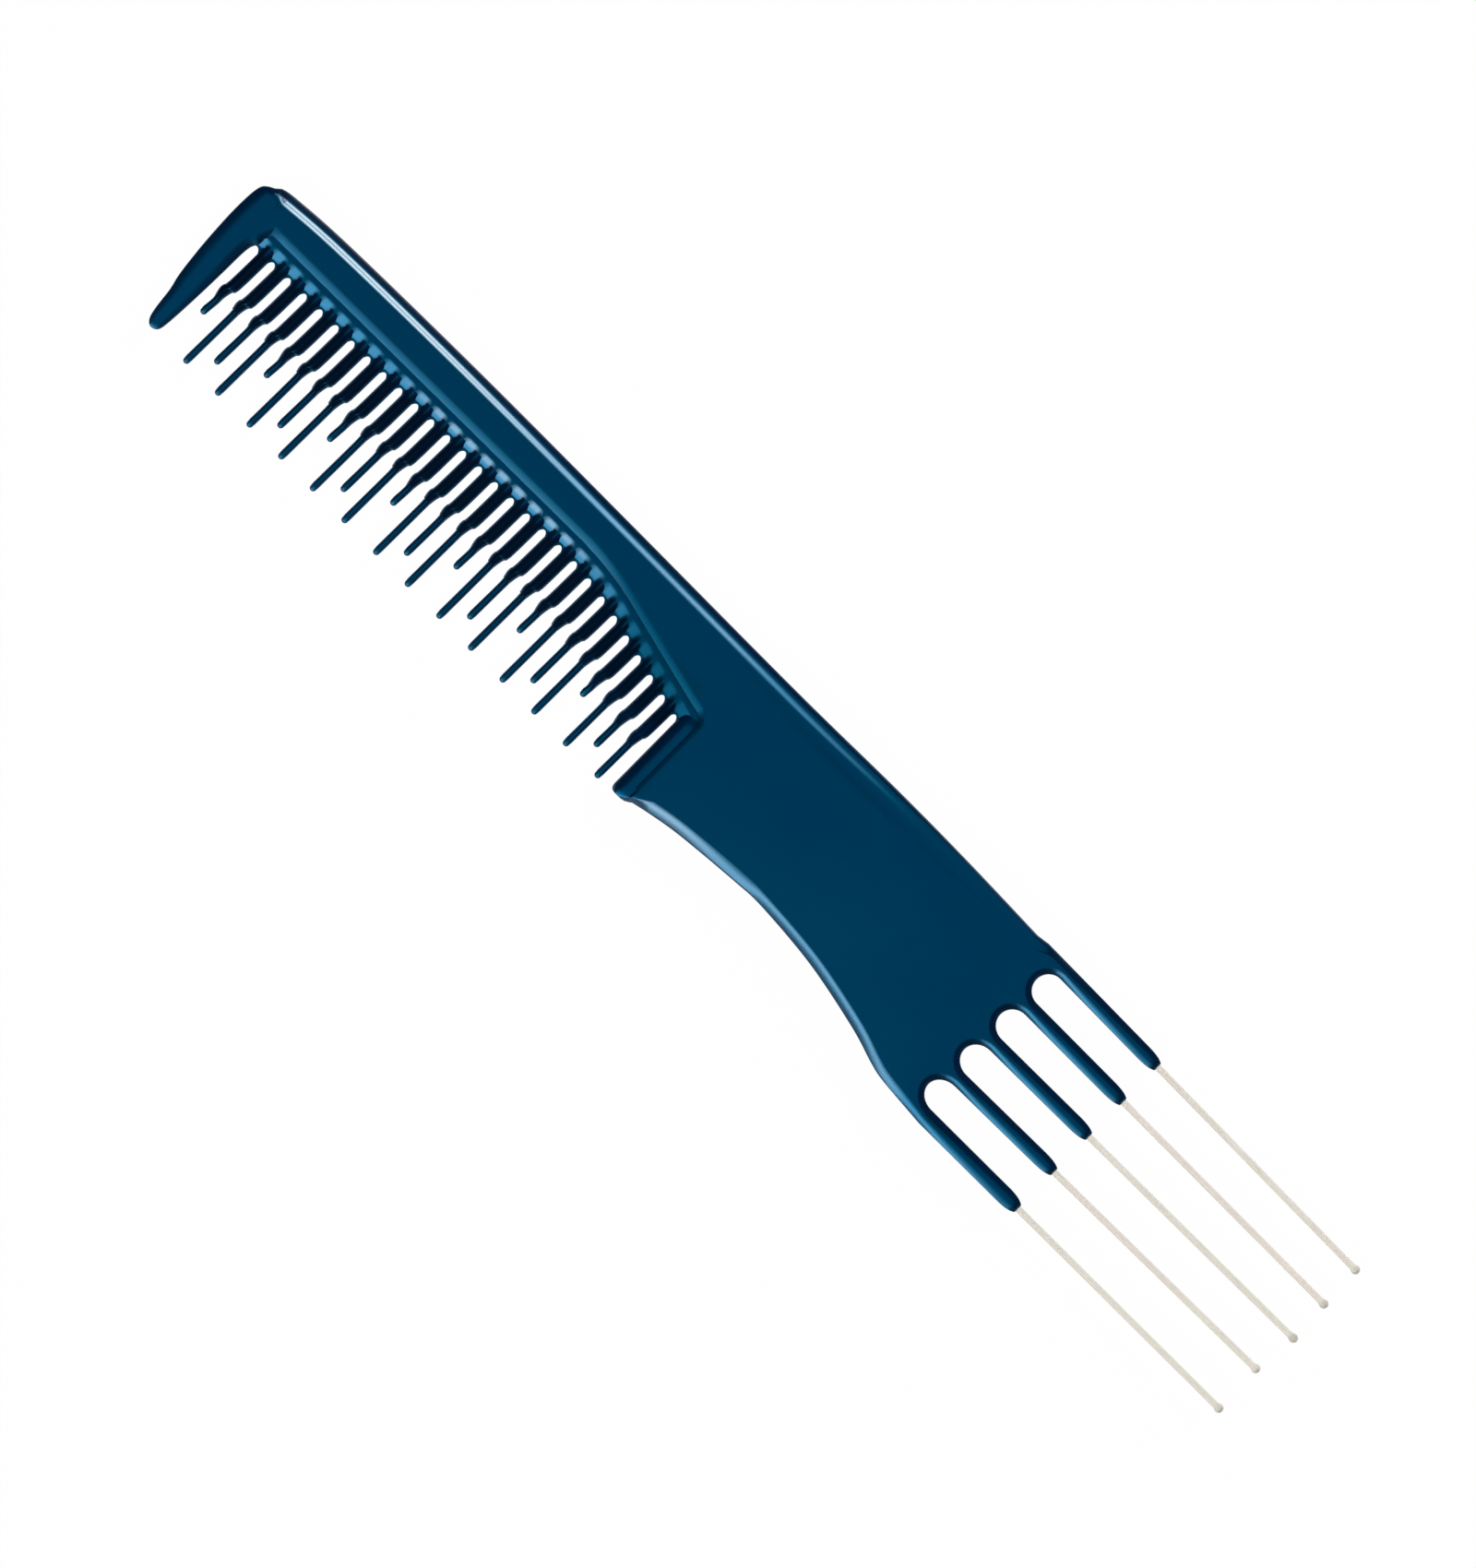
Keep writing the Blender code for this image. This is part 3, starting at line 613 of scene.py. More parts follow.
@dataclass(frozen=True)
class Handle:
    """The waisted grip: its lower edge, the heel and the ledge over the tooth row."""

    layout: Layout
    # Shares of the length and of the fork's depth, then of the roundover, and the shoulder
    edge_shares: tuple[Row, ...] = (
        (0.955, 0.987, 0.95, 0.66), (0.897, 0.976, 1.0, 0.62), (0.854, 0.957, 1.05, 0.56),
        (0.764, 0.906, 1.1, 0.50), (0.587, 0.838, 1.1, 0.50), (0.41, 0.807, 1.1, 0.52),
        (0.32, 0.811, 1.28, 0.54), (0.142, 0.838, 1.29, 0.40), (0.05, 0.865, 1.29, 0.36),
    )
    edge_roundover: float = 0.00132
    corner_shoulder: float = 0.50
    corner: float = 0.0006
    corner_fullness: float = 0.9
    inner_corner: float = 0.0012
    heel_setin: float = 0.0007
    heel_roundover: float = 0.0009
    heel_shoulder: float = 0.88
    ledge_roundover: float = 0.00132
    ledge_shoulder: float = 0.63
    ledge_power: float = 1.3
    ledge_end_share: float = 1.3
    slant_roundover: float = 0.00115
    slant_shoulder: float = 0.76
    steps: int = 8
    corner_steps: int = 6
    heel_steps: int = 12
    turn_steps: int = 14
    ledge_steps: int = 48

    def edge_rims(self) -> list[Rim]:
        """Draws the lower edge, from the fork back to the heel.

        Returns:
            The points of the outline.
        """
        length = self.layout.fork_root - self.layout.heel
        points = [(self.layout.heel + along * length, -depth * self.layout.fork_depth, edge, shoulder)
                  for along, depth, edge, shoulder in self.edge_shares]
        return [Rim(x, y, edge * self.edge_roundover, shoulder)
                for x, y, edge, shoulder in smooth_line(points, self.steps)]

    def corner_rims(self) -> list[Rim]:
        """Draws the small round corner at the bottom of the heel.

        Returns:
            The points of the outline.
        """
        foot = -self.edge_shares[-1][1] * self.layout.fork_depth - self.corner
        rims = []
        for step in range(self.corner_steps + 1):
            angle = RIGHT_ANGLE * step / self.corner_steps
            x = self.layout.heel - self.heel_setin + self.corner * (1 - math.sin(angle))
            y = foot + self.corner * (1 - math.cos(angle))
            rims.append(Rim(x, y, self.corner * self.corner_fullness, self.corner_shoulder))
        return rims

    def ledge_rims(self) -> list[Rim]:
        """Draws the outline up the heel wall and back along the ledge to the end guard.

        Returns:
            The points of the outline.
        """
        inner = self.inner_corner
        foot = -self.edge_shares[-1][1] * self.layout.fork_depth
        corner = self.layout.ledge_y(self.layout.heel)
        heel = self.layout.heel - self.heel_setin
        rims = [Rim(heel, y, self.heel_roundover, self.heel_shoulder)
                for y in spread(foot + inner, corner - inner, self.heel_steps)]
        start = Vector((heel, corner - inner))
        end = Vector((heel - inner, self.layout.ledge_y(heel - inner)))
        knee = Vector((heel, corner))
        for step in range(1, self.corner_steps):
            share = step / self.corner_steps
            place = start.lerp(knee, share).lerp(knee.lerp(end, share), share)
            rims.append(Rim(place.x, place.y, mix(self.heel_roundover, self.slant_roundover, share),
                            mix(self.heel_shoulder, self.slant_shoulder, share)))
        turn_start = self.layout.heel - self.layout.ledge_turn - self.layout.ledge_turn_length / 2
        turn_end = turn_start + self.layout.ledge_turn_length
        places = spread(end.x, turn_end, self.turn_steps)[:-1]
        places += spread(turn_end, turn_start, self.turn_steps)[:-1]
        places += spread(turn_start, self.layout.guard_width * self.ledge_end_share, self.ledge_steps)
        for x in places:
            slant = smooth_share(x, turn_start, turn_end)
            rims.append(Rim(x, self.layout.ledge_y(x), mix(self.ledge_roundover, self.slant_roundover, slant),
                            mix(self.ledge_shoulder, self.slant_shoulder, slant), self.ledge_power))
        return rims

    def rims(self) -> list[Rim]:
        """Returns the outline from the fork round the heel to the end guard."""
        return self.edge_rims() + self.corner_rims() + self.ledge_rims()


@dataclass(frozen=True)
class Plate:
    """The moulding without its teeth: one plate with shaped edges, the same on both faces."""

    layout: Layout
    spine: Spine
    fork: LiftFork
    handle: Handle
    guard: EndGuard
    bead_width: float = 0.00197
    bead_shoulder: float = 0.80
    bead_power: float = 1.35
    groove_width: float = 0.0024
    groove_growth: float = 3.0
    groove_least: float = 0.05
    # The levels at which the edge's wall, the bead's crown and its foot end, and the number of all levels
    wall_level: int = 3
    crown_level: int = 7
    foot_level: int = 14
    levels: int = 19
    wall_share: float = 0.9
    rise_start: float = 0.0700
    rise_end: float = 0.1180
    fall_start: float = 0.1430
    fall_end: float = 0.1515
    finger_root_half: float = 0.00135
    guard_tip_half: float = 0.00085
    least_mitre: float = 0.7
    rise_cuts: int = 32
    fall_cuts: int = 10
    guard_cuts: int = 12
    swell_cuts: int = 8

    def inward_steps(self, rims: Sequence[Rim]) -> list[Vector]:
        """Works out the step that moves each point of the outline inward by one unit.

        Args:
            rims: The points of the outline, in order.

        Returns:
            The steps, in the same order.
        """
        steps = []
        for index, rim in enumerate(rims):
            before, after = rims[index - 1], rims[(index + 1) % len(rims)]
            arriving = Vector((rim.x - before.x, rim.y - before.y)).normalized()
            leaving = Vector((after.x - rim.x, after.y - rim.y)).normalized()
            middle = (arriving + leaving).normalized()
            steps.append(Vector((middle.y, -middle.x)) / max(middle.dot(arriving), self.least_mitre))
        return steps

    def edge_profile(self, rim: Rim, level: int) -> tuple[float, float]:
        """Works out the edge's profile at one level.

        Args:
            rim: The point of the outline.
            level: The level, from 0 at the middle plane to levels at the face.

        Returns:
            How far inward the edge lies there, and how high.
        """
        web = self.layout.web_half
        if level <= self.wall_level:
            inward, height = 0.0, web * rim.shoulder * self.wall_share * level / self.wall_level
        else:
            share = (level - self.wall_level) / (self.levels - self.wall_level)
            inward = rim.roundover * share
            height = web * mix(1.0, rim.shoulder, (1 - share) ** rim.power)
        bead_inward, bead_height = self.bead_profile(rim, level)
        return mix(inward, bead_inward, rim.bead), mix(height, bead_height, rim.bead)

    def bead_profile(self, rim: Rim, level: int) -> tuple[float, float]:
        """Works out the profile of the spine's bead at one level.

        Args:
            rim: The point of the outline.
            level: The level, from 0 at the middle plane to levels at the face.

        Returns:
            How far inward the surface lies there, and how high before the face's own height is set.
        """
        web = self.layout.web_half
        face = self.face_height(rim.x, rim.y)
        rise = min(self.layout.spine_half - face, rim.drop)
        groove = rim.drop - rise
        foot = web * (1 - groove / face)
        growth = groove / self.spine.bead_drop * self.groove_growth
        run = self.groove_width * min(growth + self.groove_least, 1.0)
        crown = web + rise
        if level <= self.wall_level:
            return 0.0, crown * self.bead_shoulder * self.wall_share * level / self.wall_level
        if level <= self.crown_level:
            share = (level - self.wall_level) / (self.crown_level - self.wall_level)
            return rim.crown * share, crown * mix(1.0, self.bead_shoulder, (1 - share) ** self.bead_power)
        if level <= self.foot_level:
            share = (level - self.crown_level) / (self.foot_level - self.crown_level)
            height = mix(foot, crown, (1 + math.cos(math.pi * share)) / 2)
            return mix(rim.crown, self.bead_width, share), height
        share = (level - self.foot_level) / (self.levels - self.foot_level)
        return self.bead_width + run * share, mix(foot, web, smooth_share(share, 0.0, 1.0))

    def face_height(self, x: float, y: float) -> float:
        """Works out the height of the face above the middle plane.

        Args:
            x: The place along the comb.
            y: The place across it.

        Returns:
            The height, without the bead and the edges.
        """
        web, spine, finger = self.layout.web_half, self.layout.spine_half, self.fork.finger_width / 2
        nose_start = self.layout.body_length - self.fork.nose_length
        if x > nose_start:
            return mix(finger, self.fork.nose_half, self.fork.narrowing(x))
        if x > self.fall_end:
            return mix(self.finger_root_half, finger, (x - self.fall_end) / (nose_start - self.fall_end))
        if x > self.fall_start:
            return mix(spine, self.finger_root_half, smooth_share(x, self.fall_start, self.fall_end))
        if x > self.guard.end:
            return mix(web, spine, smooth_share(x, self.rise_start, self.rise_end))
        swell = 1 - smooth_share(x, self.guard.swell_full, self.guard.swell_start)
        swollen = mix(web, web + self.guard.swell, swell)
        below = max(-y - self.layout.root_depth, 0.0) / (self.guard.length - self.layout.root_depth)
        return mix(swollen, self.guard_tip_half, min(below, 1.0))

    def set_heights(self, bm: bmesh.types.BMesh) -> None:
        """Lifts the flat-faced half to the face's height at every place, with the bead standing on it.

        Args:
            bm: The upper half of the plate.
        """
        web = self.layout.web_half
        for vertex in bm.verts:
            face = self.face_height(vertex.co.x, vertex.co.y)
            height = vertex.co.z + face - web if vertex.co.z > web else vertex.co.z * face / web
            vertex.co.z = min(height, self.layout.spine_half)

    def build(self, maker: Maker) -> bpy.types.Object:
        """Makes the plate.

        Args:
            maker: Makes the object.

        Returns:
            The plate, in the comb's own axes.
        """
        rims = self.spine.rims(self.guard) + self.fork.rims(self.spine)
        rims += self.handle.rims() + self.guard.rims()
        inward = self.inward_steps(rims)
        bm = bmesh.new()
        ring = closed_ring(bm, (Vector((rim.x, rim.y, 0.0)) for rim in rims))
        for level in range(1, self.levels + 1):
            places = []
            for rim, step in zip(rims, inward):
                distance, height = self.edge_profile(rim, level)
                places.append(Vector((rim.x + step.x * distance, rim.y + step.y * distance, height)))
            ring = extruded_ring(bm, ring, places)
        bmesh.ops.contextual_create(bm, geom=ring_edges(bm, ring))
        cuts = [*spread(self.guard.swell_full, self.guard.swell_start, self.swell_cuts), self.guard.end]
        cuts += spread(self.rise_start, self.rise_end, self.rise_cuts)
        cuts += spread(self.fall_start, self.fall_end, self.fall_cuts)
        cut_across(bm, cuts, ALONG, self.layout.overall_length)
        depths = spread(self.layout.root_depth, self.guard.length, self.guard_cuts)[:-1]
        cut_across(bm, [-depth for depth in depths], BACK, self.guard.end)
        self.set_heights(bm)
        bmesh.ops.mirror(bm, geom=bm.verts[:] + bm.edges[:] + bm.faces[:], axis="Z", merge_dist=WELD_DISTANCE)
        return maker.form("comb_moulding", bm)


@dataclass(frozen=True)
class ToothRow:
    """The recessed band under the ledge, its stepped teeth and the guard strip at the heel."""

    layout: Layout
    count: int = 28
    first: float = 0.00702
    pitch: float = 0.002886
    tip_fall: float = 0.0009
    root_half: float = 0.00091
    root_length: float = 0.0008
    wide_half: float = 0.00091
    slim_half: float = 0.00051
    thick_half: float = 0.00095
    thin_half: float = 0.00055
    first_lean: float = 0.00066
    last_lean: float = 0.00040
    first_bulge: float = 0.00060
    last_bulge: float = 0.00040
    ridge_fullness: float = 1.35
    tip_fullness: float = 2.6
    sides: int = 28
    steps: int = 3
    # Above the gap root, half width and half thickness in shares, and fullness, where a tooth leaves the band
    root_rows: tuple[Row, ...] = (
        (0.00150, 0.50, 0.84, 2.2), (0.00120, 0.62, 0.85, 2.1), (0.00090, 0.76, 0.86, 2.0),
        (0.00060, 0.88, 0.86, 1.9), (0.00025, 0.97, 0.88, 1.7), (-0.00015, 1.0, 0.92, 1.45),
    )
    # Above the step in tooth widths, beside the axis in bulges, and shares of half width and half thickness
    step_shares: tuple[Row, ...] = (
        (0.87, 0.25, 0.99, 0.99), (0.38, 0.8, 0.89, 0.93), (0.03, 1.0, 0.82, 0.90),
        (-0.41, 0.96, 0.67, 0.85), (-0.85, 0.84, 0.56, 0.80),
    )
    # Where the section turns from a ridge into a flat tip, in tooth widths above the step
    tip_section: Span = (-1.1, -0.3)
    # The end of the taper above the tip, the round of the tip, and their thickness in shares of the thin one
    taper_end: float = 0.00095
    taper_thickness: float = 1.1
    tip_round: float = 0.00065
    tip_thickness: float = 1.05
    # Round the tip: turns in right angles, and the power that fills it out
    tip_turns: tuple[float, ...] = (0.35, 0.6, 0.8, 0.93, 0.99)
    tip_power: float = 0.8
    # The band's section: how far below the ledge's foot, and its height
    band_section: tuple[Row, ...] = (
        (-0.0010, 0.00090), (0.0, 0.00093), (0.00022, 0.00097), (0.00042, 0.00099), (0.00058, 0.00097),
        (0.00074, 0.00090), (0.00095, 0.00078), (0.00120, 0.00063), (0.00145, 0.00048), (0.00170, 0.00033),
        (0.00195, 0.00018), (0.00212, 0.00010), (0.00227, 0.00009),
    )
    band_top: float = 0.00097
    slant_start: float = 0.0680
    slant_end: float = 0.0800
    slant_drop: float = 0.68
    # Beside a tooth's axis in half widths, and the share of the band's fall that is left there
    fillet_shares: tuple[Row, ...] = (
        (-1.12, 1.0), (-0.75, 0.85), (-0.40, 0.58), (-0.12, 0.38), (0.12, 0.38), (0.40, 0.58), (0.75, 0.85),
        (1.12, 1.0),
    )
    web_half: float = 0.00012
    web_drop: float = 0.0003
    web_overlap: float = 0.0005
    web_reach: float = 0.00140
    web_burial: float = 0.00013
    web_steps: int = 18
    heel_width: float = 0.0030
    heel_length: float = 0.0264
    heel_overlap: float = 0.0010
    heel_half: float = 0.00142
    # Where the guard strip comes out from under the ledge: how far below it, and the share of its height
    heel_top_shares: tuple[Row, ...] = (
        (-0.0010, 0.60), (-0.0002, 0.64), (0.0004, 0.72), (0.0011, 0.88), (0.0018, 0.97), (0.0026, 1.0),
    )
    heel_fullness: float = 2.2
    # Round the strip's tip: shares of its length, and of its width to its left and its right side
    heel_tip_shares: tuple[Row, ...] = (
        (0.93, 0.0, 1.0), (0.965, 0.0, 0.93), (0.983, 0.02, 0.78), (0.995, 0.08, 0.64), (1.0, 0.18, 0.5),
    )

    def axis(self, index: int) -> float:
        """Returns the place of a tooth's axis along the comb."""
        return self.first + index * self.pitch

    def length(self, index: int) -> float:
        """Works out how far a tooth's tip lies below the crest of the spine.

        Args:
            index: The tooth's place in the row, from 0 at the end guard.

        Returns:
            The depth of the tip.
        """
        order = (ToothLength.SHORT, ToothLength.LONG, ToothLength.MEDIUM, ToothLength.LONG)
        reach = order[index % len(order)].value
        return self.layout.root_depth + reach + self.tip_fall * index / self.count

    def tooth_rows(self, index: int) -> list[Row]:
        """Works out the sections of one tooth as numbers.

        Args:
            index: The tooth's place in the row, from 0 at the end guard.

        Returns:
            Rows of depth, offset from the axis, half width, half thickness and fullness, from inside the band
            to the tip.
        """
        x = self.axis(index)
        root, step, tip = self.layout.root_y(x), self.layout.step_y(x), -self.length(index)
        lean = mix(self.first_lean, self.last_lean, index / self.count)
        bulge = mix(self.first_bulge, self.last_bulge, index / self.count)
        rows = [(root + above, 0.0, width * self.root_half, thickness * self.thick_half, fullness)
                for above, width, thickness, fullness in self.root_rows]
        points = [(root - self.root_length, 0.0, self.wide_half, self.thick_half, self.ridge_fullness)]
        for above, beside, width, thickness in self.step_shares:
            fullness = mix(self.tip_fullness, self.ridge_fullness, smooth_share(above, *self.tip_section))
            points.append((step + above * 2 * self.wide_half, -beside * bulge, width * self.wide_half,
                           thickness * self.thick_half, fullness))
        points.append((tip + self.taper_end, -lean, self.slim_half, self.thin_half * self.taper_thickness,
                       self.tip_fullness))
        rows += smooth_line(points, self.steps)
        for turn in self.tip_turns:
            reach = math.sin(turn * RIGHT_ANGLE)
            size = math.cos(turn * RIGHT_ANGLE) ** self.tip_power
            rows.append((tip + self.tip_round * (1 - reach), -lean, self.slim_half * size,
                         self.thin_half * self.tip_thickness * size, self.tip_fullness))
        return rows

    def teeth(self, maker: Maker) -> bpy.types.Object:
        """Makes all the teeth, each a closed body of its own.

        Args:
            maker: Makes the object.

        Returns:
            The teeth, in the comb's own axes.
        """
        bm = bmesh.new()
        for index in range(self.count):
            x = self.axis(index)
            loft(bm, [Section(Vector((x + offset, y, 0.0)), ALONG * half, UP * rise, fullness)
                      for y, offset, half, rise, fullness in self.tooth_rows(index)], self.sides)
        return maker.form("teeth", bm)

    def band(self, maker: Maker) -> bpy.types.Object:
        """Makes the band between the ledge and the gap roots, which rounds down to the gaps' edge.

        Args:
            maker: Makes the object.

        Returns:
            The band, in the comb's own axes.
        """
        places = [(self.layout.guard_width, 1.0)]
        for index in range(self.count):
            x = self.axis(index)
            places += [(x + across * self.root_half, share) for across, share in self.fillet_shares]
        places += [(self.layout.heel, 1.0)]
        bm = bmesh.new()
        ring: list[bmesh.types.BMVert] = []
        for x, fall in places:
            ledge = self.layout.ledge_y(x)
            share = (ledge - self.layout.root_y(x)) / (self.layout.root_depth - self.layout.ledge_depth)
            drop = fall * mix(1.0, self.slant_drop, smooth_share(x, self.slant_start, self.slant_end))
            upper = [Vector((x, ledge - below * share, self.band_top - (self.band_top - height) * drop))
                     for below, height in self.band_section]
            section = upper + [Vector((x, place.y, -place.z)) for place in reversed(upper)]
            ring = extruded_ring(bm, ring, section) if ring else closed_ring(bm, section)
        bmesh.ops.holes_fill(bm, edges=[edge for edge in bm.edges if edge.is_boundary], sides=0)
        return maker.form("tooth_band", bm)

    def gap_web(self, maker: Maker) -> bpy.types.Object:
        """Makes the thin web whose lower edge forms the round roots of the gaps.

        Args:
            maker: Makes the object.

        Returns:
            The web, in the comb's own axes.
        """
        sides = [self.layout.guard_width]
        for index in range(self.count):
            x = self.axis(index)
            sides += [x - self.root_half, x + self.root_half]
        sides.append(self.layout.heel - self.heel_width)
        lower = []
        tail = self.web_drop + self.web_reach + self.web_overlap
        for left, right in zip(sides[0::2], sides[1::2]):
            lower.append((left - self.root_half / 2, self.layout.root_y(left) - tail))
            for step in range(self.web_steps + 1):
                angle = math.pi * step / self.web_steps
                x = mix(left - self.web_burial, right + self.web_burial, (1 - math.cos(angle)) / 2)
                arch = self.web_reach * (1 - math.sin(angle))
                lower.append((x, self.layout.root_y(x) - self.web_drop - arch))
            lower.append((right + self.root_half / 2, self.layout.root_y(right) - tail))
        upper = [(x, self.layout.root_y(x) + self.web_overlap) for x, _ in lower]
        bm = bmesh.new()
        first = closed_ring(bm, (Vector((x, y, -self.web_half)) for x, y in lower + upper[::-1]))
        last = extruded_ring(bm, first, [Vector((x, y, self.web_half)) for x, y in lower + upper[::-1]])
        for ring in (first, last):
            bmesh.ops.contextual_create(bm, geom=ring_edges(bm, ring))
        return maker.form("gap_web", bm)

    def heel_guard(self, maker: Maker) -> bpy.types.Object:
        """Makes the recessed guard strip that closes the tooth row at the heel.

        Args:
            maker: Makes the object.

        Returns:
            The strip, in the comb's own axes.
        """
        end = self.layout.heel + self.heel_overlap
        start = self.layout.heel - self.heel_width
        full = end - start
        ledge = self.layout.ledge_y(self.layout.heel)
        rows = [(ledge - below, start, end, share) for below, share in self.heel_top_shares]
        for along, left, right in self.heel_tip_shares:
            rows.append((-along * self.heel_length, start + left * full, start + right * full, 1.0))
        sections = []
        for y, left, right, share in rows:
            rise = share * self.heel_half * math.sqrt((right - left) / full)
            sections.append(Section(Vector(((left + right) / 2, y, 0.0)), ALONG * ((right - left) / 2),
                                    UP * rise, self.heel_fullness))
        bm = bmesh.new()
        loft(bm, sections, self.sides * 2)
        return maker.form("heel_guard", bm)

    def forms(self, maker: Maker) -> list[bpy.types.Object]:
        """Returns every form of the tooth row."""
        return [self.teeth(maker), self.band(maker), self.gap_web(maker), self.heel_guard(maker)]


@dataclass(frozen=True)
class LiftTine:
    """One steel wire with a ball tip, whose flattened end is moulded into a finger."""

    fork: LiftFork
    index: int
    setback: float
    radius: float = 0.00044
    ball_share: float = 1.4
    ball_end: float = 0.97
    collar_share: float = 1.01
    collar_setback: float = 0.35
    burial: float = 0.0025
    anchor_length: float = 0.0021
    anchor_taper: float = 0.0004
    anchor_half_height: float = 0.00075
    anchor_half_width: float = 0.0003
    mouth_depth: float = 0.00012
    mouth_flare: float = 0.00005
    fit: float = 0.00001
    sides: int = 28
    shank_steps: int = 24
    ball_steps: int = 12

    @property
    def start(self) -> float:
        """The place of the buried end along the comb."""
        return self.fork.layout.fork_root - self.burial

    def matrix(self) -> Matrix:
        """Returns the place of the tine's own x axis in the comb's axes."""
        turn = Matrix.Rotation(-self.fork.leans[self.index], MATRIX_SIZE, "Z")
        return Matrix.Translation((self.start, self.fork.middle_y(self.index, self.start), 0.0)) @ turn

    def anchor_rows(self, grown: float) -> list[Row]:
        """Works out the sections of the anchor.

        Args:
            grown: The clearance by which it grows on every side.

        Returns:
            Rows of place, half width and half height.
        """
        width, height = self.anchor_half_width + grown, self.anchor_half_height + grown
        taper, radius = self.anchor_taper, self.radius + grown
        return [
            (-grown, width, height - taper / 2), (taper / 2, width, height - grown / 2),
            (taper, width, height), (self.anchor_length - taper, width, height),
            (self.anchor_length, radius, radius),
        ]

    def rod(self, name: str, rows: Sequence[Row], maker: Maker) -> bpy.types.Object:
        """Makes a rod that lies along the finger.

        Args:
            name: The object's name.
            rows: Its sections as rows of place, half width and half height.
            maker: Makes the object.

        Returns:
            The rod, in the comb's own axes.
        """
        bm = bmesh.new()
        loft(bm, [Section(ALONG * x, BACK * width, UP * height) for x, width, height in rows], self.sides)
        bmesh.ops.transform(bm, matrix=self.matrix(), verts=bm.verts)
        return maker.form(name, bm)

    def wire(self, maker: Maker) -> bpy.types.Object:
        """Makes the tine with its anchor, shank and ball tip.

        Args:
            maker: Makes the object.

        Returns:
            The tine, in the comb's own axes.
        """
        lean = self.fork.leans[self.index]
        length = (self.fork.layout.overall_length - self.setback - self.start) / math.cos(lean)
        ball = self.radius * self.ball_share
        centre = length - ball
        neck = math.asin(self.radius / ball) - RIGHT_ANGLE
        neck_x = centre + ball * math.sin(neck)
        rows = self.anchor_rows(0.0)
        rows += [(x, self.radius, self.radius)
                 for x in spread(self.anchor_length, neck_x, self.shank_steps)[1:-1]]
        collar = self.radius * self.collar_share
        rows.append((neck_x - self.radius * self.collar_setback, collar, collar))
        for angle in spread(neck, RIGHT_ANGLE * self.ball_end, self.ball_steps)[1:]:
            rows.append((centre + ball * math.sin(angle), ball * math.cos(angle), ball * math.cos(angle)))
        return self.rod(f"tine_wire_{self.index + 1}", rows, maker)

    def bore(self, maker: Maker) -> bpy.types.Object:
        """Makes the form of the pocket in the finger, with the small flare at its mouth.

        Args:
            maker: Makes the object.

        Returns:
            The form, in the comb's own axes.
        """
        radius = self.radius + self.fit
        mouth = (self.fork.layout.body_length - self.start) / math.cos(self.fork.leans[self.index])
        end = radius + 2 * self.mouth_flare
        rows = self.anchor_rows(self.fit) + [
            (mouth - self.mouth_depth, radius, radius), (mouth + self.mouth_depth, end, end),
        ]
        return self.rod(f"bore_{self.index + 1}", rows, maker)


class Value:
    """A shader value that Python's operators work on; each operator adds one Math node."""

    def __init__(self, tree: "ShaderTree", socket: bpy.types.NodeSocket) -> None:
        """Keeps the socket and the tree it belongs to."""
        self.tree = tree
        self.socket = socket

    def __add__(self, other: "Value | float") -> "Value":
        """Returns the sum."""
        return self.tree.maths("ADD", self, other)

    def __radd__(self, other: float) -> "Value":
        """Returns the sum."""
        return self.tree.maths("ADD", other, self)

    def __sub__(self, other: "Value | float") -> "Value":
        """Returns the difference."""
        return self.tree.maths("SUBTRACT", self, other)

    def __rsub__(self, other: float) -> "Value":
        """Returns the difference, with the number first."""
        return self.tree.maths("SUBTRACT", other, self)

    def __mul__(self, other: "Value | float") -> "Value":
        """Returns the product."""
        return self.tree.maths("MULTIPLY", self, other)

    def __rmul__(self, other: float) -> "Value":
        """Returns the product."""
        return self.tree.maths("MULTIPLY", other, self)

    def __abs__(self) -> "Value":
        """Returns the size without the sign."""
        return self.tree.maths("ABSOLUTE", self)

    def rise(self, start: float, end: float) -> "Value":
        """Adds a smooth step.

        Args:
            start: The value at which it begins.
            end: The value at which it ends.

        Returns:
            The step, from 0 at start to 1 at end.
        """
        return self.tree.add("ShaderNodeMapRange", {"interpolation_type": "SMOOTHSTEP"}, {
            "Value": self, "From Min": start, "From Max": end, "To Min": 0.0, "To Max": 1.0,
        })

    def swing(self, size: float) -> "Value":
        """Returns how far this noise lies from its middle, times a size."""
        return (self - NOISE_MIDDLE) * size

    def marbled(self, fine: "Value") -> "Value":
        """Returns a pattern from 0 to 1 of this noise, with some of a finer one in it."""
        coarse = self.rise(PATTERN_START, PATTERN_END) * COARSE_SHARE
        return coarse + fine.rise(PATTERN_START, PATTERN_END) * (1 - COARSE_SHARE)


@dataclass(frozen=True)
class Noise:
    """The settings of a noise; a stretch scales the place on each axis first."""

    scale: float
    detail: float
    roughness: float = 0.5
    stretch: Row | None = None


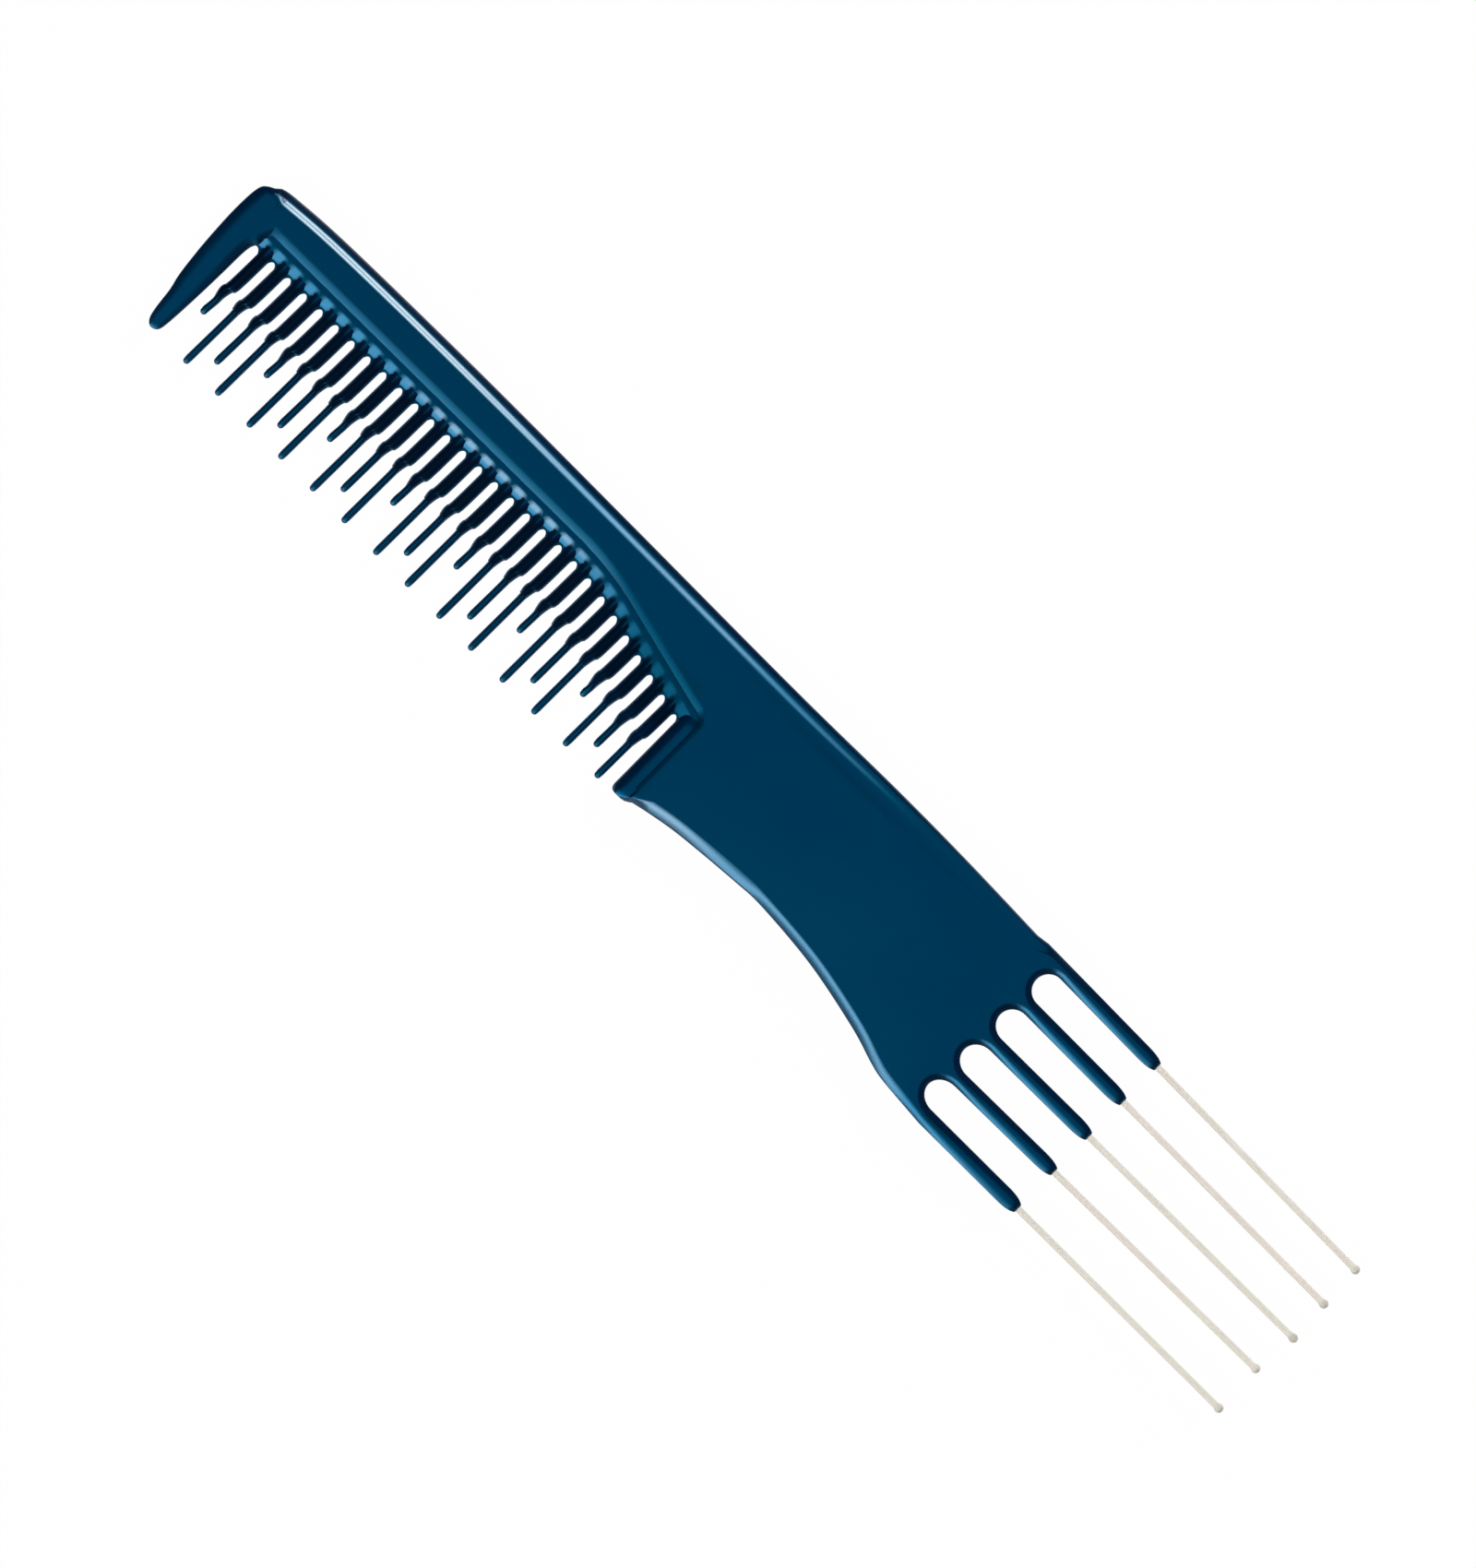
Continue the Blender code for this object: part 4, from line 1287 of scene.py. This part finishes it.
class ShaderTree:
    """The nodes of one material."""

    def __init__(self, name: str) -> None:
        """Makes a material with an empty tree.

        Args:
            name: The material's name.
        """
        self.material = bpy.data.materials.new(name)
        self.material.use_nodes = True
        self.tree = self.material.node_tree
        self.tree.nodes.clear()

    def add(self, kind: str, settings: dict[str, object], inputs: dict[str | int, object],
            output: str | int = 0) -> Value:
        """Adds one node.

        Args:
            kind: The node's type.
            settings: Its own properties, which are set first.
            inputs: Values or links of its sockets, by name or number.
            output: The name or number of the output that is wanted.

        Returns:
            The output, as a value.
        """
        node = self.tree.nodes.new(kind)
        for name, setting in settings.items():
            setattr(node, name, setting)
        for name, given in inputs.items():
            if isinstance(given, Value):
                self.tree.links.new(given.socket, node.inputs[name])
            else:
                node.inputs[name].default_value = given
        return Value(self, node.outputs[output])

    def maths(self, operation: str, *values: "Value | float") -> Value:
        """Adds a Math node on numbers or values."""
        return self.add("ShaderNodeMath", {"operation": operation}, dict(enumerate(values)))

    def place(self) -> Value:
        """Returns the place on the piece, in metres."""
        return self.add("ShaderNodeTexCoord", {}, {}, "Object")

    def axes(self, place: Value) -> tuple[Value, Value, Value]:
        """Returns the three numbers of a place or a direction."""
        first = self.add("ShaderNodeSeparateXYZ", {}, {0: place})
        return first, *(Value(self, first.socket.node.outputs[name]) for name in ("Y", "Z"))

    def noise(self, place: Value, noise: Noise) -> Value:
        """Adds a noise.

        Args:
            place: The place that it is read at.
            noise: Its settings.

        Returns:
            The noise, from 0 to 1.
        """
        if noise.stretch:
            place = self.add("ShaderNodeMapping", {}, {"Vector": place, "Scale": noise.stretch})
        return self.add("ShaderNodeTexNoise", {}, {
            "Vector": place, "Scale": noise.scale, "Detail": noise.detail, "Roughness": noise.roughness,
        })

    def blend(self, first: "Value | Row", second: "Value | Row", share: "Value | float") -> Value:
        """Adds a blend of two colours.

        Args:
            first: The colour at a share of 0.
            second: The colour at a share of 1.
            share: The share of the second colour.

        Returns:
            The blended colour.
        """
        colours = [given if isinstance(given, Value) else (*given, 1.0) for given in (first, second)]
        return self.add("ShaderNodeMix", {"data_type": "RGBA"}, {
            "Factor": share, FIRST_COLOUR: colours[0], SECOND_COLOUR: colours[1],
        }, MIXED_COLOUR)

    def bump(self, height: Value, strength: float = 1.0) -> Value:
        """Returns a normal from a height in metres."""
        return self.add("ShaderNodeBump", {}, {"Height": height, "Strength": strength, "Distance": 1.0})

    def surface(self, inputs: dict[str | int, object]) -> bpy.types.Material:
        """Ends the tree in a Principled shader.

        Args:
            inputs: Values or links of the shader's sockets, by name.

        Returns:
            The finished material.
        """
        shader = self.add("ShaderNodeBsdfPrincipled", {}, inputs)
        self.add_output(shader)
        return self.material

    def add_output(self, shader: Value) -> None:
        """Links a shader to the material's output."""
        output = self.tree.nodes.new("ShaderNodeOutputMaterial")
        self.tree.links.new(shader.socket, output.inputs["Surface"])


@dataclass(frozen=True)
class Spot:
    """What the moulding's shader knows about the spot that it colours.

    x is the place along the comb in the row frame, depth the distance below the spine's crest, height the
    distance from the middle plane, and tilt says how much the surface faces up or down, from 0 on a wall to 1
    on a flat.
    """

    x: Value
    depth: Value
    height: Value
    tilt: Value


@dataclass(frozen=True)
class Zone:
    """A region of the moulding with soft borders.

    Each border is the span over which the zone fades in or out, along x in the row frame or with the depth
    below the spine's crest.
    """

    x_in: Span | None = None
    x_out: Span | None = None
    depth_in: Span | None = None
    depth_out: Span | None = None

    def share(self, spot: Spot) -> Value:
        """Works out how far a spot lies in the zone.

        Args:
            spot: The spot.

        Returns:
            1 inside and 0 outside, with a smooth change on the borders.
        """
        starts = ((spot.x, self.x_in), (spot.depth, self.depth_in))
        ends = ((spot.x, self.x_out), (spot.depth, self.depth_out))
        shares = [value.rise(*span) for value, span in starts if span]
        shares += [1 - value.rise(*span) for value, span in ends if span]
        return math.prod(shares[1:], start=shares[0])


@dataclass(frozen=True)
class MouldedPlastic:
    """Dark blue injection-moulded plastic: polished mould faces, rubbed where the comb touches a table."""

    datum: Datum
    # The plastic's own colour, which is cloudy and finely speckled, and the grain of its surface
    deep: Row = (0.0, 0.0050, 0.025)
    light: Row = (0.0, 0.0072, 0.032)
    cloud: Noise = Noise(scale=70.0, detail=3.0)
    speck: Noise = Noise(scale=1100.0, detail=2.0)
    grain: Noise = Noise(scale=4200.0, detail=1.0)
    # Fine scratches along and across the comb
    scratch: Noise = Noise(scale=1.0, detail=3.0, roughness=0.6, stretch=(260.0, 7000.0, 900.0))
    scratch_span: Span = (0.60, 0.72)
    cross_scratch: Noise = Noise(scale=1.0, detail=2.0, roughness=0.6, stretch=(5200.0, 520.0, 900.0))
    cross_scratch_span: Span = (0.66, 0.76)
    # Rubbed places: heights that touch a table, and the tips of the teeth
    rubbed: Row = (0.001, 0.016, 0.050)
    touching: Span = (0.00175, 0.00200)
    rub_span: Span = (0.35, 0.70)
    touching_rub: float = 0.275
    tip_zone: Zone = Zone(x_out=(-0.0145, -0.0125), depth_in=(0.0165, 0.0255))
    tip_rub: float = 0.2475
    # The teeth below the band: painted shade that darkens them near their roots, and a painted sheen that
    # lightens their steep sides
    tooth_zone: Zone = Zone(x_in=(-0.0957, -0.0945), x_out=(-0.0137, -0.0127), depth_in=(0.0080, 0.0090))
    # Painted shade for the teeth near their roots, and the depths over which it ends
    painted_tooth_shade: Row = (0.0, 0.0012, 0.010)
    tooth_shade_end: Span = (0.0155, 0.0180)
    # Painted sheen for the teeth's steep sides, and the tilts over which it fades
    rim: Row = (0.0, 0.050, 0.120)
    rim_sheen_tilt: Span = (0.46, 0.72)
    # Roughness: everywhere, on steep sides, and from clouds, scratches and rubbed tips
    roughness: float = 0.30
    side_roughness: float = 0.55
    side_tilt: Span = (0.20, 0.50)
    cloud_roughness: float = 0.10
    scratch_roughness: float = 0.10
    tip_roughness: float = 0.06
    # Relief in metres; the parting line runs round the middle plane
    grain_height: float = 0.0000006
    speck_height: float = 0.0000015
    scratch_depth: float = 0.0000022
    parting: Span = (0.00002, 0.00007)
    parting_height: float = 0.000018
    # Gloss: a tinted sheen, and a coat on rounded edges that are neither steep nor quite flat
    sheen_tint: Row = (0.0, 0.41, 0.89, 1.0)
    ior: float = 1.8
    coat_ior: float = 2.0
    coat_roughness: float = 0.24
    polish_in: Span = (0.50, 0.66)
    polish_out: Span = (0.92, 0.97)
    coat: float = 0.045
    # The coat is thinner over the slant of the ledge
    slant_zone: Zone = Zone(x_in=(-0.034, -0.024), x_out=(-0.0115, -0.0095), depth_in=(0.0050, 0.0060))
    slant_loss: float = 0.037
    # It is thicker on the bead, less so towards the handle and more so towards the end guard
    bead_zone: Zone = Zone(x_in=(-0.0990, -0.0940), depth_out=(0.0022, 0.0032))
    bead_gain: float = 0.14
    bead_fade: Span = (-0.020, -0.004)
    bead_loss: float = 0.10
    bead_end: Span = (-0.075, -0.040)
    bead_end_gain: float = 0.50
    # It is thicker on the grip's lower edge, most of all at the heel
    grip_zone: Zone = Zone(x_out=(0.038, 0.043), depth_in=(0.0180, 0.0200))
    grip_start: Span = (-0.0105, -0.0085)
    grip_gain: float = 0.208
    grip_fade: Span = (-0.0060, 0.0060)
    grip_loss: float = 0.128
    # It is thicker along the middle of the tooth band's rounded edge
    root_zone: Zone = Zone(x_in=(-0.072, -0.060), x_out=(-0.042, -0.030),
                           depth_in=(0.0067, 0.0070), depth_out=(0.0075, 0.0080))
    root_gain: float = 0.20

    def coating(self, spot: Spot) -> Value:
        """Works out the weight of the coat.

        Args:
            spot: The spot.

        Returns:
            The weight, which is largest on the bead near the end guard.
        """
        polish = spot.tilt.rise(*self.polish_in) * (1 - spot.tilt.rise(*self.polish_out))
        bead = self.bead_gain - spot.x.rise(*self.bead_fade) * self.bead_loss
        bead = bead + (1 - spot.x.rise(*self.bead_end)) * self.bead_end_gain
        grip = spot.x.rise(*self.grip_start) * self.grip_gain - spot.x.rise(*self.grip_fade) * self.grip_loss
        weight = self.coat - self.slant_zone.share(spot) * self.slant_loss
        weight = weight + bead * self.bead_zone.share(spot) + grip * self.grip_zone.share(spot)
        return polish * (weight + self.root_zone.share(spot) * self.root_gain)

    def material(self) -> bpy.types.Material:
        """Builds the material.

        Returns:
            The material, which reads the row frame's places.
        """
        tree = ShaderTree("moulded_plastic")
        place = tree.place()
        x, y, z = tree.axes(place)
        normal = tree.add("ShaderNodeNewGeometry", {}, {}, "Normal")
        spot = Spot(x, self.datum.crest - y, abs(z - self.datum.middle), abs(tree.axes(normal)[2]))
        cloud, speck, grain = (tree.noise(place, noise) for noise in (self.cloud, self.speck, self.grain))
        lines = tree.noise(place, self.scratch).rise(*self.scratch_span)
        lines = lines + tree.noise(place, self.cross_scratch).rise(*self.cross_scratch_span)
        touching = spot.height.rise(*self.touching)
        scratches = lines * touching
        tips = self.tip_zone.share(spot)
        teeth = self.tooth_zone.share(spot)
        rubbing = touching * cloud.rise(*self.rub_span) * self.touching_rub + tips * self.tip_rub
        colour = tree.blend(self.deep, self.light, cloud.marbled(speck))
        colour = tree.blend(colour, self.rubbed, rubbing)
        # Painted shade: the teeth are darkened near their roots, where they stand in shade
        colour = tree.blend(colour, self.painted_tooth_shade, teeth * (1 - spot.depth.rise(*self.tooth_shade_end)))
        # Painted sheen: the steep sides of the teeth are lightened, like a reflection
        colour = tree.blend(colour, self.rim, teeth * (1 - spot.tilt.rise(*self.rim_sheen_tilt)))
        roughness = self.roughness + cloud.swing(self.cloud_roughness) + scratches * self.scratch_roughness
        roughness = roughness + tips * self.tip_roughness
        roughness = roughness + (1 - spot.tilt.rise(*self.side_tilt)) * self.side_roughness
        relief = grain.swing(self.grain_height) + speck.swing(self.speck_height)
        relief = relief + (1 - spot.height.rise(*self.parting)) * self.parting_height
        relief = relief - scratches * self.scratch_depth
        return tree.surface({
            "Base Color": colour, "Roughness": roughness, "Normal": tree.bump(relief),
            "Specular Tint": self.sheen_tint, "IOR": self.ior, "Coat Weight": self.coating(spot),
            "Coat Roughness": self.coat_roughness, "Coat IOR": self.coat_ior,
        })


@dataclass(frozen=True)
class TineSteel:
    """Pale plated steel wire with fine lines from drawing, darker where its tip was melted into a ball."""

    bright: Row = (0.92, 0.87, 0.80)
    dull: Row = (0.86, 0.81, 0.74)
    tip: Row = (0.64, 0.60, 0.54)
    tip_start: float = 0.0984
    tip_end: float = 0.0993
    tip_weight: float = 0.8
    metallic: float = 0.10
    roughness: float = 0.65
    patch: Noise = Noise(scale=190.0, detail=3.0)
    patch_roughness: float = 0.16
    lines: Noise = Noise(scale=1.0, detail=2.0, stretch=(90.0, 9000.0, 9000.0))
    line_roughness: float = 0.10
    line_height: float = 0.0000003

    def material(self) -> bpy.types.Material:
        """Builds the material.

        Returns:
            The material, which reads the row frame's places.
        """
        tree = ShaderTree("tine_steel")
        place = tree.place()
        x, _, _ = tree.axes(place)
        patch, lines = tree.noise(place, self.patch), tree.noise(place, self.lines)
        colour = tree.blend(self.dull, self.bright, patch.marbled(lines))
        colour = tree.blend(colour, self.tip, x.rise(self.tip_start, self.tip_end) * self.tip_weight)
        roughness = self.roughness + patch.swing(self.patch_roughness) + lines.swing(self.line_roughness)
        return tree.surface({
            "Base Color": colour, "Metallic": self.metallic, "Roughness": roughness,
            "Normal": tree.bump(lines.swing(self.line_height)),
        })


@dataclass(frozen=True)
class FloorPaper:
    """Matt white paper that looks white to the camera and in gloss, and keeps the comb's shadow."""

    colour: Row = (0.95, 0.95, 0.95, 1.0)
    white: Row = (1.0, 1.0, 1.0, 1.0)
    share: float = 0.985
    grain: Noise = Noise(scale=900.0, detail=3.0)
    grain_height: float = 0.00001
    grain_strength: float = 0.3

    def material(self) -> bpy.types.Material:
        """Builds the material.

        Returns:
            The material, whose white is what the camera, gloss and clear things see.
        """
        tree = ShaderTree("floor_paper")
        grain = tree.noise(tree.place(), self.grain)
        paper = tree.add("ShaderNodeBsdfDiffuse", {}, {
            "Color": self.colour,
            "Normal": tree.bump(grain.swing(self.grain_height), self.grain_strength),
        })
        glow = tree.add("ShaderNodeEmission", {}, {"Color": self.white, "Strength": 1.0})
        camera = tree.add("ShaderNodeLightPath", {}, {}, "Is Camera Ray")
        glossy, through = (Value(tree, camera.socket.node.outputs[name])
                           for name in ("Is Glossy Ray", "Is Transmission Ray"))
        seen = (camera + glossy + through) * self.share
        tree.add_output(tree.add("ShaderNodeMixShader", {}, {0: seen, 1: paper, 2: glow}))
        return tree.material


@dataclass(frozen=True)
class Lamp:
    """One soft area lamp, aimed at the middle of the comb."""

    name: str
    place: Row
    width: float
    height: float
    radiance: float
    colour: Row = (1.0, 1.0, 1.0)
    in_gloss: bool = True
    on_matt: bool = True

    def build(self) -> None:
        """Makes the lamp; its power follows from its size and radiance."""
        light = bpy.data.lights.new(self.name, "AREA")
        light.shape = "RECTANGLE"
        light.size, light.size_y = self.width, self.height
        light.energy = math.pi * self.width * self.height * self.radiance
        light.color = self.colour
        lamp = bpy.data.objects.new(self.name, light)
        lamp.location = self.place
        lamp.rotation_mode = "QUATERNION"
        lamp.rotation_quaternion = Vector(self.place).to_track_quat("Z", "Y")
        lamp.visible_glossy = self.in_gloss
        lamp.visible_diffuse = self.on_matt
        bpy.context.scene.collection.objects.link(lamp)


@dataclass(frozen=True)
class Studio:
    """The floor, the lamps, the dim room and the camera straight above the comb."""

    datum: Datum
    floor_size: float = 3.0
    floor_gap: float = 0.0001
    room: Row = (0.10, 0.10, 0.10, 1.0)
    camera_turn: float = math.radians(44.6)
    camera_distance: float = 1.2
    camera_reach: float = 4.8
    sensor: float = 36.0
    view_height: float = 0.20222
    view_x: float = 0.09823
    view_y: float = -0.014417
    lamps: tuple[Lamp, ...] = (
        Lamp("front_strip", place=(0.0, -0.713, 0.363), width=0.85, height=0.25, radiance=10.0,
             colour=(1.0, 1.0, 0.9), on_matt=False),
        Lamp("front_card", place=(0.0, -0.525, 0.604), width=0.85, height=0.36, radiance=2.6,
             colour=(1.0, 1.0, 0.9)),
        Lamp("overhead_box", place=(0.0, 0.0, 1.9), width=1.7, height=1.7, radiance=0.92),
        Lamp("back_fill", place=(0.0, 0.72, 0.35), width=0.9, height=0.40, radiance=4.0, in_gloss=False),
    )

    def floor(self) -> None:
        """Makes the floor that the comb lies on."""
        bm = bmesh.new()
        bmesh.ops.create_grid(bm, x_segments=1, y_segments=1, size=self.floor_size / 2)
        bmesh.ops.translate(bm, verts=bm.verts, vec=(0.0, 0.0, -self.floor_gap))
        floor = Maker(self.datum).form("floor", bm)
        floor.data.materials.append(FloorPaper().material())

    def camera(self) -> None:
        """Makes the camera and sets it as the scene's."""
        lens = bpy.data.cameras.new("camera")
        lens.sensor_width = self.sensor
        lens.lens = self.sensor * self.camera_distance / self.view_height
        lens.clip_end = self.camera_reach
        camera = bpy.data.objects.new("camera", lens)
        shift = self.datum.shift()
        camera.location = (shift.x + self.view_x, shift.y + self.view_y, shift.z + self.camera_distance)
        camera.rotation_euler = (0.0, 0.0, self.camera_turn)
        bpy.context.scene.collection.objects.link(camera)
        bpy.context.scene.camera = camera

    def build(self) -> None:
        """Makes everything round the comb and sets the plain view transform."""
        self.floor()
        self.camera()
        for lamp in self.lamps:
            lamp.build()
        world = bpy.data.worlds.new("room")
        world.use_nodes = True
        world.node_tree.nodes["Background"].inputs["Color"].default_value = self.room
        bpy.context.scene.world = world
        bpy.context.scene.view_settings.view_transform = "Standard"


@dataclass
class Comb:
    """The whole comb: the moulded body and its five tines."""

    maker: Maker
    layout: Layout = field(default_factory=Layout)
    # How far each tine stops short of the overall length
    setbacks: tuple[float, ...] = (0.0005, 0.0003, 0.0, 0.0007, 0.0005)

    def build(self) -> list[bpy.types.Object]:
        """Makes every piece of the comb.

        Returns:
            The body, then the tines.
        """
        fork = LiftFork(self.layout)
        plate = Plate(self.layout, Spine(self.layout), fork, Handle(self.layout), EndGuard(self.layout))
        tines = [LiftTine(fork, index, setback) for index, setback in enumerate(self.setbacks)]
        body = self.maker.joined(plate.build(self.maker), ToothRow(self.layout).forms(self.maker),
                                 [tine.bore(self.maker) for tine in tines])
        plastic = MouldedPlastic(self.maker.datum).material()
        steel = TineSteel().material()
        pieces = [self.maker.piece(body, plastic, "body", "comb_body")]
        for tine in tines:
            node = f"lift_tine_{tine.index + 1}"
            pieces.append(self.maker.piece(tine.wire(self.maker), steel, "tines", node))
        return pieces


def main() -> None:
    """Builds the comb and its studio."""
    logging.basicConfig(level=logging.INFO, format="%(name)s: %(message)s")
    datum = Datum.of_frame()
    pieces = Comb(Maker(datum)).build()
    log.info("%d pieces", len(pieces))
    Studio(datum).build()


if __name__ == "__main__":
    main()
